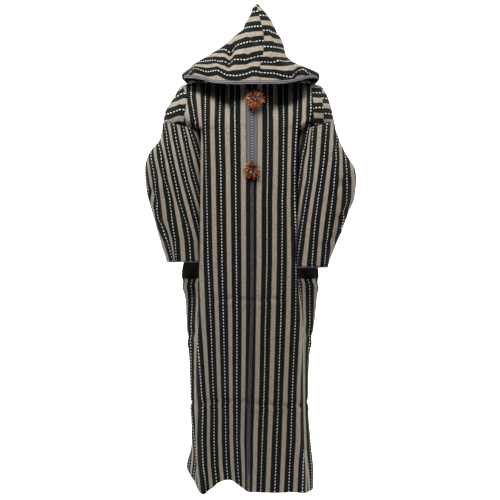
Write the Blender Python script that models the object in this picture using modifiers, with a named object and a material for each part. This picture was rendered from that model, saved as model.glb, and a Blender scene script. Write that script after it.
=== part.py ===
"""A djellaba: a long hooded robe of striped wool, filled out as if worn, with no wearer.

Metres, +Z up. The robe's front faces -Y. The origin is at the base of the neck, between the shoulders.
Every panel is an open sheet on the inner face of the cloth, which Solidify thickens outwards.
"""

import math

import bmesh
import bpy
from mathutils import Vector

NAME = "djellaba_robe"

# Cloth and trims
WALL = 0.002
BRAID_WALL = 0.0014
SEAM_GAP = 0.0003
ARMHOLE_GAP = 0.0006
GORE_GAP = 0.0024
SLIT_CORD_RADIUS = 0.0016
CUFF_CORD_RADIUS = 0.002
CUFF_CORD_GAP = 0.0008

# Heights of the body
ARMPIT_Z = -0.186
SHOULDER_SEAM_Z = -0.160
HEM_Z = -1.430

# How far the front's flat share, its fold and the back's corner lie behind or before the middle
FLAT_SHARE = 0.80
FRONT_BOW = 0.010
FOLD_BOW = 0.014
BACK_BOW = 0.026

# Places on the half ring: 0 is the centre front, 2 its fold, 3 the notch, 4 the side, 6 the centre back
FOLD_PLACE = 2.0
FRONT_SEAM = 2.6
BACK_SEAM = 4.6
CENTRE_BACK = 6.0
# The front panel's place by share across it, which crowds its columns at the fold
FRONT_PLACES = ((0.0, 0.0), (0.62, 1.0), (0.78, 2.0), (1.0, FRONT_SEAM))

# Squares of each sheet
PANEL_COLUMNS = 12
NECK_SHARE = 3 / 12
EDGE_SHARE = 0.02
YOKE_ROWS = 7
BODY_ROWS = 22
GORE_COLUMNS = 8
SLEEVE_COLUMNS = 18
SLEEVE_ROWS = 13
HOOD_COLUMNS = 16
HOOD_ROWS = 12
HOOD_RETURN_SHARES = (0.05, 0.35, 0.70, 1.0)

# Body sections. All widths are from the centre line; front and back are the Y of the flat panels.
BODY_COLUMNS = ("z", "front", "fold", "notch_x", "notch_y", "side", "side_y", "corner", "back")
BODY_LEFT = (
    (-0.186, -0.129, 0.172, 0.152, -0.020, 0.164, 0.062, 0.136, 0.118),
    (-0.300, -0.132, 0.174, 0.148, -0.022, 0.168, 0.066, 0.142, 0.128),
    (-0.460, -0.134, 0.175, 0.148, -0.026, 0.196, 0.058, 0.146, 0.134),
    (-0.630, -0.136, 0.176, 0.152, -0.034, 0.236, 0.046, 0.156, 0.138),
    (-0.700, -0.137, 0.178, 0.172, -0.062, 0.247, 0.030, 0.162, 0.139),
    (-0.770, -0.137, 0.178, 0.178, -0.080, 0.235, 0.024, 0.160, 0.140),
    (-0.880, -0.138, 0.178, 0.188, -0.084, 0.225, 0.020, 0.160, 0.141),
    (-0.960, -0.138, 0.176, 0.194, -0.080, 0.215, 0.016, 0.158, 0.142),
    (-1.150, -0.140, 0.170, 0.194, -0.080, 0.210, 0.012, 0.156, 0.144),
    (-1.280, -0.142, 0.168, 0.192, -0.084, 0.207, 0.020, 0.160, 0.148),
    (-1.360, -0.143, 0.168, 0.188, -0.090, 0.212, 0.036, 0.172, 0.152),
    (-1.430, -0.144, 0.168, 0.184, -0.096, 0.228, 0.046, 0.176, 0.156),
)
BODY_RIGHT = (
    (-0.186, -0.129, 0.156, 0.138, -0.020, 0.152, 0.062, 0.134, 0.118),
    (-0.300, -0.132, 0.153, 0.132, -0.022, 0.160, 0.066, 0.140, 0.128),
    (-0.460, -0.134, 0.151, 0.130, -0.028, 0.188, 0.060, 0.146, 0.134),
    (-0.630, -0.136, 0.150, 0.134, -0.036, 0.226, 0.050, 0.154, 0.138),
    (-0.700, -0.137, 0.154, 0.156, -0.062, 0.237, 0.030, 0.158, 0.139),
    (-0.780, -0.137, 0.157, 0.168, -0.080, 0.229, 0.024, 0.156, 0.140),
    (-0.880, -0.138, 0.158, 0.176, -0.084, 0.212, 0.020, 0.154, 0.141),
    (-0.960, -0.138, 0.158, 0.178, -0.080, 0.197, 0.016, 0.150, 0.142),
    (-1.150, -0.140, 0.158, 0.180, -0.080, 0.193, 0.014, 0.148, 0.144),
    (-1.290, -0.142, 0.162, 0.184, -0.084, 0.204, 0.016, 0.152, 0.148),
    (-1.360, -0.143, 0.164, 0.188, -0.086, 0.211, 0.020, 0.156, 0.152),
    (-1.430, -0.144, 0.164, 0.188, -0.088, 0.210, 0.024, 0.158, 0.156),
)

# The shoulder, from the front neck point over the shoulder seam to the outer arm
NECK_HALF_WIDTH = 0.082
NECK_MIDDLE_Y = -0.004
NECK_SIDE_Z = -0.014
NECK_FRONT = (-0.112, -0.030)
NECK_BACK = (0.082, -0.004)
SHOULDER_LEFT = (
    (0.082, -0.004, -0.014),
    (0.150, -0.006, -0.019),
    (0.215, -0.010, -0.023),
    (0.249, -0.014, -0.035),
    (0.268, -0.018, -0.070),
    (0.296, -0.020, -0.113),
    (0.306, -0.022, -0.160),
)
SHOULDER_RIGHT = (
    (0.082, -0.004, -0.014),
    (0.150, -0.006, -0.019),
    (0.211, -0.010, -0.024),
    (0.242, -0.014, -0.035),
    (0.262, -0.018, -0.072),
    (0.275, -0.020, -0.116),
    (0.284, -0.022, -0.160),
)

# Turns of the sleeve's tube at which the armhole seam leaves the front and the back panel
FRONT_ARMHOLE_TURN = 0.40
BACK_ARMHOLE_TURN = 0.60
ARMHOLE_LEVEL = 0.10
ARMHOLE_FALL = 0.30
CHEST_BULGE = 0.010
BACK_BULGE = 0.016

# Sleeve sections: outer and inner edge from the centre line, front and back of the tube
SLEEVE_TABLE_COLUMNS = ("z", "outer", "inner", "front", "back")
SLEEVE_LEFT = (
    (-0.160, 0.306, 0.184, -0.112, 0.100),
    (-0.200, 0.312, 0.1795, -0.122, 0.090),
    (-0.220, 0.317, 0.177, -0.126, 0.083),
    (-0.254, 0.345, 0.175, -0.133, 0.070),
    (-0.288, 0.362, 0.1742, -0.139, 0.058),
    (-0.330, 0.366, 0.174, -0.146, 0.044),
    (-0.395, 0.359, 0.1745, -0.152, 0.024),
    (-0.465, 0.341, 0.177, -0.156, 0.006),
    (-0.530, 0.322, 0.1795, -0.158, -0.010),
    (-0.590, 0.305, 0.1803, -0.158, -0.026),
    (-0.636, 0.291, 0.1808, -0.158, -0.038),
)
SLEEVE_RIGHT = (
    (-0.160, 0.284, 0.168, -0.112, 0.100),
    (-0.200, 0.294, 0.163, -0.124, 0.090),
    (-0.260, 0.318, 0.156, -0.138, 0.068),
    (-0.325, 0.354, 0.1545, -0.150, 0.044),
    (-0.420, 0.350, 0.154, -0.158, 0.016),
    (-0.465, 0.331, 0.1545, -0.161, 0.004),
    (-0.530, 0.306, 0.155, -0.163, -0.012),
    (-0.590, 0.281, 0.1552, -0.164, -0.028),
    (-0.654, 0.259, 0.1557, -0.164, -0.040),
)
SLEEVE_SQUARENESS = 2.5

# Hood sections by height: its left and right edge, the seam, and the Y of its front, middle and back
HOOD_TABLE_COLUMNS = ("z", "left", "right", "seam", "front", "middle", "back")
HOOD = (
    (0.252, 0.012, 0.022, 0.017, -0.029, -0.024, -0.019),
    (0.235, 0.002, 0.036, 0.019, -0.044, -0.021, 0.000),
    (0.212, -0.006, 0.053, 0.024, -0.062, -0.016, 0.024),
    (0.184, -0.023, 0.072, 0.030, -0.078, -0.011, 0.045),
    (0.164, -0.030, 0.081, 0.035, -0.090, -0.009, 0.058),
    (0.149, -0.049, 0.087, 0.038, -0.098, -0.008, 0.068),
    (0.132, -0.070, 0.100, 0.040, -0.106, -0.008, 0.077),
    (0.114, -0.087, 0.107, 0.041, -0.113, -0.008, 0.085),
    (0.097, -0.112, 0.111, 0.040, -0.126, -0.009, 0.098),
    (0.080, -0.140, 0.115, 0.039, -0.135, -0.011, 0.107),
    (0.062, -0.168, 0.126, 0.036, -0.144, -0.013, 0.115),
    (0.045, -0.198, 0.150, 0.031, -0.153, -0.014, 0.120),
    (0.028, -0.219, 0.194, 0.029, -0.164, -0.016, 0.125),
    (0.010, -0.240, 0.229, 0.028, -0.175, -0.018, 0.129),
    (-0.008, -0.238, 0.231, 0.028, -0.183, -0.020, 0.130),
    (-0.042, -0.230, 0.226, 0.028, -0.190, -0.022, 0.122),
    (-0.070, -0.230, 0.226, 0.028, -0.190, -0.022, 0.118),
)
HOOD_TOP_Z = 0.252
HOOD_TIP = (0.017, -0.024, 0.254)
HOOD_TIP_SHARE = 0.40
HOOD_SQUARENESS = 0.9
HOOD_FOLD_EASE = 0.07
# The hood's lower edge by turn from its front seam, 0, past the shoulder, 0.5, to the nape, 1
HOOD_EDGE_COLUMNS = ("turn", "left_z", "right_z")
HOOD_EDGE = (
    (0.00, -0.040, -0.040),
    (0.10, -0.039, -0.038),
    (0.20, -0.033, -0.028),
    (0.30, -0.016, -0.014),
    (0.42, -0.009, -0.010),
    (0.50, -0.008, -0.009),
    (0.62, -0.018, -0.020),
    (0.80, -0.046, -0.048),
    (1.00, -0.054, -0.054),
)
HOOD_RETURN_TURN = 0.43
HOOD_DIP = 0.008
NECK_LEAN = 1.2
HOOD_LIFT = 0.0020
HOOD_FOLD_COLUMNS = ("turn", "width", "depth", "from_z")
HOOD_FOLDS_LEFT = ((0.24, 0.055, 0.014, 0.060), (0.10, 0.030, -0.005, 0.100), (0.72, 0.060, 0.010, 0.080))
HOOD_FOLDS_RIGHT = ((0.30, 0.050, 0.016, 0.030), (0.13, 0.035, -0.006, 0.120), (0.70, 0.060, 0.010, 0.080))

# Folds that run down the body: where they lie on the half ring, how deep, and between which heights
BODY_FOLD_COLUMNS = ("place", "width", "depth", "top", "bottom")
BODY_FOLDS_LEFT = (
    (3.35, 0.22, 0.014, -0.60, -1.50),
    (4.25, 0.22, 0.018, -0.36, -1.50),
    (4.80, 0.16, -0.008, -0.50, -1.60),
    (5.25, 0.18, 0.018, -0.42, -1.50),
    (5.62, 0.14, -0.008, -0.30, -1.60),
    (5.86, 0.12, 0.008, -0.55, -1.60),
    (1.20, 0.16, 0.007, -1.00, -1.60),
)
BODY_FOLDS_RIGHT = (
    (3.30, 0.22, 0.014, -0.62, -1.50),
    (4.20, 0.22, 0.017, -0.40, -1.50),
    (4.85, 0.16, -0.009, -0.60, -1.60),
    (5.20, 0.18, 0.019, -0.36, -1.50),
    (5.55, 0.14, -0.007, -0.45, -1.60),
    (1.10, 0.16, 0.004, -1.05, -1.60),
)
FOLD_EASE = 0.20

# The hem's height above its lowest line, by place on the half ring
HEM_RISE_LEFT = (
    (0.00, 0.010),
    (0.22, 0.031),
    (0.45, 0.051),
    (0.72, 0.042),
    (0.94, 0.021),
    (1.40, 0.003),
    (2.00, 0.002),
    (2.60, 0.006),
    (3.00, 0.014),
    (3.40, 0.040),
    (3.80, 0.074),
    (4.20, 0.082),
    (6.00, 0.035),
)
HEM_RISE_RIGHT = (
    (0.00, 0.010),
    (0.60, 0.007),
    (1.20, 0.008),
    (2.00, 0.006),
    (3.00, 0.002),
    (3.60, 0.004),
    (4.40, 0.018),
    (6.00, 0.035),
)
HEM_EASE = 0.35

# The centre seam leans to the left below the waist
SEAM_LEAN = -0.012
LEAN_TOP = -0.70
LEAN_EASE = 0.60

# The neck slit and its braids, by height
SLIT_TOP = -0.050
SLIT_CLOSED = -0.105
SLIT_BOTTOM = -0.312
SLIT_HALF_WIDTH = 0.009
SLIT_CORD_TOP = -0.126
SLIT_CORD_BOTTOM = -0.298
SLIT_CORD_LIFT = 0.0004
SLIT_CORD_STEPS = 20
BRAID_INNER = 0.0035
BRAID_OUTER = 0.0190
BRAID_ROWS = 10
BRAID_LIFT = 0.0010
HOOD_BRAID_WIDTH = 0.012
HOOD_BRAID_HEM = 0.001
HOOD_BRAID_COLUMNS = 5
TRIM_LIFT = 0.0006

# Tassels: centre in X and Z, reach of the strands, radius of the head, inset of a strand, lift of the head
TASSEL_COLUMNS = ("name", "x", "z", "reach", "head", "strand", "lift")
TASSELS = (
    ("tassel_upper", 0.007, -0.086, 0.032, 0.0095, 0.0010, 0.0028),
    ("tassel_lower", 0.000, -0.326, 0.026, 0.0085, 0.0010, 0.0004),
)
STRAND_DROOP = 0.006
STRAND_DEPTH_SHARE = 0.45
STRAND_BACK_LIMIT = 0.12

COLOURS = {
    "striped_wool": (0.155, 0.140, 0.118, 1.0),
    "braid": (0.200, 0.190, 0.205, 1.0),
    "cord": (0.380, 0.370, 0.350, 1.0),
    "tassel_yarn": (0.420, 0.110, 0.030, 1.0),
}


def clear_scene():
    for thing in list(bpy.data.objects):
        bpy.data.objects.remove(thing, do_unlink=True)


def hermite(before, start, end, after, share):
    """A Catmull-Rom step from start to end, for numbers or vectors."""
    square = share * share
    cube = square * share
    return 0.5 * (
        2 * start
        + (end - before) * share
        + (2 * before - 5 * start + 4 * end - after) * square
        + (3 * start - before - 3 * end + after) * cube
    )


def through(points, place):
    """The point at place, 0 to len - 1, on a smooth line through the points."""
    last = len(points) - 1
    step = min(int(max(place, 0.0)), last - 1)
    share = min(max(place, 0.0), last) - step
    before = points[max(step - 1, 0)]
    after = points[min(step + 2, last)]
    return hermite(before, points[step], points[step + 1], after, share)


def row_at(table, key):
    """A table's row at a key of its first column, read straight between rows with eased ends."""
    rising = table[-1][0] > table[0][0]
    rows = table if rising else table[::-1]
    if key <= rows[0][0]:
        return rows[0]
    for index in range(len(rows) - 1):
        low, high = rows[index], rows[index + 1]
        if key <= high[0]:
            share = (key - low[0]) / (high[0] - low[0])
            before = rows[max(index - 1, 0)]
            after = rows[min(index + 2, len(rows) - 1)]
            return tuple(hermite(a, b, c, d, share) for a, b, c, d in zip(before, low, high, after))
    return rows[-1]


def bump(distance, width):
    """One at the middle of a fold, falling softly to nothing."""
    return math.exp(-((distance / width) ** 2))


def ease(share):
    share = min(max(share, 0.0), 1.0)
    return share * share * (3 - 2 * share)


def body_ring(side, z):
    """The body's half ring at a height, from the centre front to the centre back.

    Its first and last points only steer the ends, so that the front and the back cross the centre square.
    """
    row = dict(zip(BODY_COLUMNS, row_at(BODY_LEFT if side < 0 else BODY_RIGHT, z)))
    flat_front = FLAT_SHARE * row["fold"]
    flat = (
        (-flat_front, row["front"] + FRONT_BOW),
        (0.0, row["front"]),
        (flat_front, row["front"] + FRONT_BOW),
        (row["fold"], row["front"] + FOLD_BOW),
        (row["notch_x"], row["notch_y"]),
        (row["side"], row["side_y"]),
        (row["corner"], row["back"] - BACK_BOW),
        (0.0, row["back"]),
        (-row["corner"], row["back"] - BACK_BOW),
    )
    return [Vector((side * x, y, z)) for x, y in flat]


def ring_place(ring, place):
    """The point at a place of the half ring, whose first and last points only steer its ends."""
    step = min(int(max(place, 0.0)), len(ring) - 4)
    return hermite(*ring[step:step + 4], place - step)


def body_folds(side, place, z):
    """How far the long folds draw the cloth in at a place on the half ring."""
    inward = 0.0
    for row in BODY_FOLDS_LEFT if side < 0 else BODY_FOLDS_RIGHT:
        fold = dict(zip(BODY_FOLD_COLUMNS, row))
        strength = ease((fold["top"] - z) / FOLD_EASE) * ease((z - fold["bottom"]) / FOLD_EASE)
        inward += fold["depth"] * strength * bump(place - fold["place"], fold["width"])
    return inward


def hem_rise(side, place):
    return row_at(HEM_RISE_LEFT if side < 0 else HEM_RISE_RIGHT, place)[1]


def body_point(side, place, z):
    """A point of the body at a place on the half ring, where z is the height before the hem's own line."""
    ring = body_ring(side, z)
    point = ring_place(ring, place)
    step = 0.02
    along = ring_place(ring, place + step) - ring_place(ring, place - step)
    outward = Vector((along.y, -along.x, 0.0)) * side
    outward.normalize()
    point = point - outward * body_folds(side, place, z)
    point.x += SEAM_LEAN * ease((LEAN_TOP - z) / LEAN_EASE) * max(1.0 - place / FOLD_PLACE, 0.0)
    share = ease((HEM_Z + HEM_EASE - z) / HEM_EASE)
    point.z += hem_rise(side, place) * share
    return point


def body_heights():
    """Heights of the body's rows, closer near the armpit and the hem."""
    return [ARMPIT_Z + (HEM_Z - ARMPIT_Z) * row / BODY_ROWS for row in range(BODY_ROWS + 1)]


def shoulder_line(side):
    return [Vector((side * x, y, z)) for x, y, z in (SHOULDER_LEFT if side < 0 else SHOULDER_RIGHT)]


def sleeve_point(side, turn, z):
    """A point of the sleeve: turn 0 is its outer side, 0.25 its front, 0.5 its inner side."""
    row = dict(zip(SLEEVE_TABLE_COLUMNS, row_at(SLEEVE_LEFT if side < 0 else SLEEVE_RIGHT, z)))
    angle = 2 * math.pi * turn
    across = (row["outer"] - row["inner"]) / 2
    deep = (row["back"] - row["front"]) / 2
    power = 2 / SLEEVE_SQUARENESS
    cosine = math.copysign(abs(math.cos(angle)) ** power, math.cos(angle))
    sine = math.copysign(abs(math.sin(angle)) ** power, math.sin(angle))
    x = (row["outer"] + row["inner"]) / 2 + across * cosine
    y = (row["front"] + row["back"]) / 2 - deep * sine
    return Vector((side * x, y, z))


def sleeve_top(turn):
    """Height of the armhole seam: level over the outer arm, dipping to the armpit."""
    inner = min(turn % 1.0, -turn % 1.0)
    return SHOULDER_SEAM_Z + (ARMPIT_Z - SHOULDER_SEAM_Z) * ease((inner - ARMHOLE_LEVEL) / ARMHOLE_FALL)


def armhole_point(side, turn):
    return sleeve_point(side, turn, sleeve_top(turn))


def patch(top, bottom, inner, outer, across, down):
    """A point of the sheet that four edges hold: across from inner to outer, down from top to bottom."""
    held = (1 - down) * top(across) + down * bottom(across) + (1 - across) * inner(down) + across * outer(down)
    corners = (1 - down) * ((1 - across) * top(0.0) + across * top(1.0))
    corners += down * ((1 - across) * bottom(0.0) + across * bottom(1.0))
    return held - corners


def neck_arc(side, end, share):
    """A quarter of the neckline: share 0 is its front or back end, 1 the side of the neck."""
    angle = math.pi / 2 * share
    y = NECK_MIDDLE_Y + (end[0] - NECK_MIDDLE_Y) * math.cos(angle)
    z = NECK_SIDE_Z + (end[1] - NECK_SIDE_Z) * math.cos(angle)
    return Vector((side * NECK_HALF_WIDTH * math.sin(angle), y, z))


def shoulder_top(side, neck_end, across):
    """The panel's top edge: round the neck, then along the shoulder seam that both panels share."""
    shoulder = shoulder_line(side)
    if across < NECK_SHARE:
        return neck_arc(side, neck_end, across / NECK_SHARE)
    return through(shoulder, (across - NECK_SHARE) / (1 - NECK_SHARE) * (len(shoulder) - 1))


def panel_columns():
    """Columns of a panel, with a close one at its outer edge so that both sides of the seam run on."""
    return [column / PANEL_COLUMNS for column in range(PANEL_COLUMNS)] + [1 - EDGE_SHARE, 1.0]


def gore_columns():
    inner = [column / GORE_COLUMNS for column in range(1, GORE_COLUMNS)]
    return [0.0, EDGE_SHARE] + inner + [1 - EDGE_SHARE, 1.0]


def slit_half_width(z):
    return SLIT_HALF_WIDTH * ease((z - SLIT_CLOSED) / (SLIT_TOP - SLIT_CLOSED))


def between(table, key):
    """The second column of a two-column table at a key of its first, read straight."""
    for (low, start), (high, end) in zip(table, table[1:]):
        if key <= high:
            return start + (end - start) * (key - low) / (high - low)
    return table[-1][1]


def front_place(across):
    return between(FRONT_PLACES, across)


def back_place(across):
    return CENTRE_BACK + (BACK_SEAM - CENTRE_BACK) * across


def panel_rows(side, neck_end, place, armhole_end, seam_y, bulge):
    """Half a front or back: the yoke over the shoulder to the armhole, then straight down to the hem."""

    def top(across):
        return shoulder_top(side, neck_end, across) + Vector((0, seam_y, 0))

    def bottom(across):
        return body_point(side, place(across), ARMPIT_Z)

    def inner(down):
        return top(0.0).lerp(bottom(0.0), down) + Vector((0, bulge * math.sin(math.pi * down), 0))

    def outer(down):
        turn = armhole_end * down if armhole_end < 0.5 else 1.0 - (1.0 - armhole_end) * down
        shift = bottom(1.0) - armhole_point(side, armhole_end)
        seam = Vector((0, seam_y * (1 - down), 0))
        return armhole_point(side, turn) + seam + shift * down * down

    columns = panel_columns()
    rows = []
    for row in range(YOKE_ROWS):
        rows.append([patch(top, bottom, inner, outer, across, row / YOKE_ROWS) for across in columns])
    for z in body_heights():
        rows.append([body_point(side, place(across), z) for across in columns])
    return [part_edges(row, False, True) for row in rows]


def front_rows(side):
    rows = panel_rows(side, NECK_FRONT, front_place, FRONT_ARMHOLE_TURN, -SEAM_GAP / 2, -CHEST_BULGE)
    for row in rows:
        row[0].x += side * (SEAM_GAP / 2 + slit_half_width(row[0].z))
    return rows


def back_rows():
    """The back panel, from the left seam to the right seam."""
    halves = []
    for side in (-1, 1):
        halves.append(panel_rows(side, NECK_BACK, back_place, BACK_ARMHOLE_TURN, SEAM_GAP / 2, BACK_BULGE))
    return [left[:0:-1] + right for left, right in zip(*halves)]


def part_edges(row, first, last):
    """Draws a row's end points in along the row, so that it stops half a seam gap short."""
    if first:
        row[0] = row[0] + (row[1] - row[0]).normalized() * SEAM_GAP / 2
    if last:
        row[-1] = row[-1] + (row[-2] - row[-1]).normalized() * SEAM_GAP / 2
    return row


def gore_rows(side):
    places = [FRONT_SEAM + (BACK_SEAM - FRONT_SEAM) * across for across in gore_columns()]
    heights = body_heights()
    heights[0] -= GORE_GAP
    return [part_edges([body_point(side, place, z) for place in places], True, True) for z in heights]


def sleeve_rows(side):
    bottom = (SLEEVE_LEFT if side < 0 else SLEEVE_RIGHT)[-1][0]
    turns = [column / SLEEVE_COLUMNS for column in range(SLEEVE_COLUMNS)]
    rows = []
    for row in range(SLEEVE_ROWS + 1):
        share = row / SLEEVE_ROWS
        tops = [sleeve_top(turn) - ARMHOLE_GAP for turn in turns]
        rows.append([sleeve_point(side, turn, top + (bottom - top) * share) for turn, top in zip(turns, tops)])
    return rows


def hood_edge(side, turn):
    row = dict(zip(HOOD_EDGE_COLUMNS, row_at(HOOD_EDGE, turn)))
    return row["left_z"] if side < 0 else row["right_z"]


def hood_point(side, turn, share):
    """A point of the hood: turn 0 is the front seam, 1 the nape; share 0 is the tip, 1 the lower edge."""
    z = HOOD_TOP_Z + (hood_edge(side, turn) - HOOD_TOP_Z) * share
    row = dict(zip(HOOD_TABLE_COLUMNS, row_at(HOOD, z)))
    seam = row["seam"] * (1 - turn * share)
    angle = math.pi * turn
    edge = row["left"] if side < 0 else row["right"]
    far = row["front"] if turn < 0.5 else row["back"]
    x = seam + (edge - seam) * math.sin(angle) ** HOOD_SQUARENESS
    y = row["middle"] + (far - row["middle"]) * abs(math.cos(angle)) ** HOOD_SQUARENESS
    inward = Vector((seam - x, row["middle"] - y, 0.0)).normalized()
    depth = 0.0
    for values in HOOD_FOLDS_LEFT if side < 0 else HOOD_FOLDS_RIGHT:
        fold = dict(zip(HOOD_FOLD_COLUMNS, values))
        strength = ease((fold["from_z"] - z) / HOOD_FOLD_EASE)
        depth += fold["depth"] * strength * bump(turn - fold["turn"], fold["width"])
    return Vector((x, y, z)) + inward * depth


def neck_point(side, turn):
    """A point of the neckline by the hood's turn, from the front of the neck to the nape."""
    if turn < 0.5:
        return neck_arc(side, NECK_FRONT, 2 * turn)
    return neck_arc(side, NECK_BACK, 2 - 2 * turn)


def hood_return_point(side, turn, share):
    """The cloth under the hood's edge, which turns in over the shoulder to the neckline."""
    edge = hood_point(side, turn, 1.0)
    off_the_yoke = Vector((0, -NECK_LEAN * math.cos(math.pi * turn), 1)).normalized()
    neck = neck_point(side, turn) + off_the_yoke * (2 * WALL + HOOD_LIFT)
    point = edge.lerp(neck, share)
    point.z = edge.z - HOOD_DIP + (neck.z - edge.z + HOOD_DIP) * share
    return point


def hood_rows(side):
    """Rows of the hood half; the return's rows hold None in front, where the hood is open."""
    turns = [column / HOOD_COLUMNS for column in range(HOOD_COLUMNS + 1)]
    rows = []
    for row in range(1, HOOD_ROWS + 1):
        rows.append([hood_point(side, turn, row / HOOD_ROWS) for turn in turns])
    for share in HOOD_RETURN_SHARES:
        rows.append([hood_return_point(side, t, share) if t >= HOOD_RETURN_TURN else None for t in turns])
    rim = [hood_point(side, turn, 0.0) for turn in turns]
    rows.insert(0, rim)
    rows.insert(0, [Vector(HOOD_TIP).lerp(point, HOOD_TIP_SHARE) for point in rim])
    for row in rows:
        for end in (0, -1):
            if row[end] is not None:
                row[end].x += side * SEAM_GAP / 2
    return rows


def hood_braid_row(side, column):
    """Points of the braid at one of the hood's columns, moved out from the cloth."""
    step = 1 / HOOD_COLUMNS
    turn = column * step
    low = hood_point(side, turn, 1.0)
    high = hood_point(side, turn, 1 - 1 / HOOD_ROWS)
    after = hood_point(side, turn + step, 1.0)
    before = hood_point(side, turn - step, 1.0) if column else hood_point(-side, step, 1.0)
    outward = ((after - before).cross(high - low) * side).normalized()
    up = (high - low).normalized()
    heights = (HOOD_BRAID_WIDTH + HOOD_BRAID_HEM, HOOD_BRAID_HEM)
    return [low + up * height + outward * (WALL + TRIM_LIFT) for height in heights]


def hood_braid_rows():
    """The braid over the hood's front edge, from the left corner over the seam to the right corner."""
    left = [hood_braid_row(-1, column) for column in range(HOOD_BRAID_COLUMNS, -1, -1)]
    right = [hood_braid_row(1, column) for column in range(1, HOOD_BRAID_COLUMNS + 1)]
    return left + right


def material(slot):
    """The material of one finish, made once."""
    found = bpy.data.materials.get(slot)
    if found:
        return found
    made = bpy.data.materials.new(slot)
    made.use_nodes = True
    shader = made.node_tree.nodes["Principled BSDF"]
    shader.inputs["Base Color"].default_value = COLOURS[slot]
    shader.inputs["Roughness"].default_value = 0.9
    shader.inputs["Metallic"].default_value = 0.0
    made.diffuse_color = COLOURS[slot]
    return made


def add_object(name, mesh, slot, collection):
    thing = bpy.data.objects.new(name, mesh)
    mesh.materials.append(material(slot))
    collection.objects.link(thing)
    return thing


def sheet_mesh(name, rows, closed, flip):
    """A mesh of squares through rows of points; a None leaves its squares out."""
    mesh = bmesh.new()
    grid = [[mesh.verts.new(point) if point is not None else None for point in row] for row in rows]
    width = len(rows[0])
    for upper, lower in zip(grid, grid[1:]):
        for column in range(width if closed else width - 1):
            after = (column + 1) % width
            corners = [upper[column], lower[column], lower[after], upper[after]]
            if None not in corners:
                mesh.faces.new(corners[::-1] if flip else corners)
    data = bpy.data.meshes.new(name)
    mesh.to_mesh(data)
    mesh.free()
    data.shade_smooth()
    return data


def add_sheet(name, rows, slot, collection, closed=False, flip=False, wall=WALL):
    thing = add_object(name, sheet_mesh(name, rows, closed, flip), slot, collection)
    solid = thing.modifiers.new("wall", "SOLIDIFY")
    solid.thickness = wall
    solid.offset = 1.0
    solid.use_even_offset = True
    solid.thickness_clamp = 0.5
    return thing


def add_cord(name, points, radius, slot, collection, cyclic):
    """A thin round cord through its points."""
    curve = bpy.data.curves.new(name, "CURVE")
    curve.dimensions = "3D"
    curve.bevel_depth = radius
    curve.bevel_resolution = 1
    curve.use_fill_caps = not cyclic
    spline = curve.splines.new("POLY")
    spline.points.add(len(points) - 1)
    for point, place in zip(spline.points, points):
        point.co = (*place, 1.0)
    spline.use_cyclic_u = cyclic
    thing = bpy.data.objects.new(name, curve)
    curve.materials.append(material(slot))
    collection.objects.link(thing)
    return thing


def front_surface(side, x, z, lift):
    """A point above the flat front at x and z, lifted off the cloth's outer face."""
    row = dict(zip(BODY_COLUMNS, row_at(BODY_LEFT if side < 0 else BODY_RIGHT, min(z, ARMPIT_Z))))
    y = row["front"]
    if z > ARMPIT_Z:
        neck_y, neck_z = NECK_FRONT
        down = (neck_z - z) / (neck_z - ARMPIT_Z)
        y = neck_y + (row["front"] - neck_y) * down - CHEST_BULGE * math.sin(math.pi * down)
    return Vector((x, y - WALL - lift, z))


def braid_rows(side):
    """A braid strip that lies on the front panel beside the slit."""
    rows = []
    for row in range(BRAID_ROWS + 1):
        z = SLIT_TOP + (SLIT_BOTTOM - SLIT_TOP) * row / BRAID_ROWS
        spread = slit_half_width(z)
        edges = (BRAID_INNER + spread, BRAID_OUTER + spread)
        rows.append([front_surface(side, side * edge, z, BRAID_LIFT) for edge in edges])
    return rows


def slit_cord_points():
    fall = (SLIT_CORD_BOTTOM - SLIT_CORD_TOP) / SLIT_CORD_STEPS
    heights = [SLIT_CORD_TOP + fall * step for step in range(SLIT_CORD_STEPS + 1)]
    return [front_surface(1, 0.0, z, SLIT_CORD_RADIUS + SLIT_CORD_LIFT) for z in heights]


def cuff_cord_points(side):
    """A ring just below the cuff, under the middle of its wall."""
    bottom = (SLEEVE_LEFT if side < 0 else SLEEVE_RIGHT)[-1][0]
    points = []
    for column in range(SLEEVE_COLUMNS):
        turn = column / SLEEVE_COLUMNS
        before = sleeve_point(side, turn - 0.01, bottom)
        after = sleeve_point(side, turn + 0.01, bottom)
        outward = Vector((before.y - after.y, after.x - before.x, 0.0)).normalized() * side
        point = sleeve_point(side, turn, bottom) + outward * WALL / 2
        points.append(point - Vector((0, 0, CUFF_CORD_RADIUS + CUFF_CORD_GAP)))
    return points


def add_tassel(values, collection):
    """A tassel: a round head whose faces grow into strands that stand apart."""
    tassel = dict(zip(TASSEL_COLUMNS, values))
    mesh = bmesh.new()
    bmesh.ops.create_icosphere(mesh, subdivisions=2, radius=tassel["head"])
    mesh.normal_update()
    rooted = [face for face in mesh.faces if face.normal.y < STRAND_BACK_LIMIT]
    bmesh.ops.inset_individual(mesh, faces=rooted, thickness=tassel["strand"])
    for stage in (1, 2):
        grown = bmesh.ops.extrude_discrete_faces(mesh, faces=rooted)["faces"]
        length = (tassel["reach"] - tassel["head"]) / 2
        for face in grown:
            outward = face.calc_center_median().normalized()
            flat = Vector((outward.x, STRAND_DEPTH_SHARE * outward.y, outward.z))
            move = flat * length + Vector((0, 0, -STRAND_DROOP * stage / 2))
            bmesh.ops.translate(mesh, verts=face.verts, vec=move)
        rooted = grown
    data = bpy.data.meshes.new(tassel["name"])
    mesh.to_mesh(data)
    mesh.free()
    thing = add_object(tassel["name"], data, "tassel_yarn", collection)
    thing.location = front_surface(1, tassel["x"], tassel["z"], tassel["head"] + tassel["lift"])
    return thing


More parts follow.
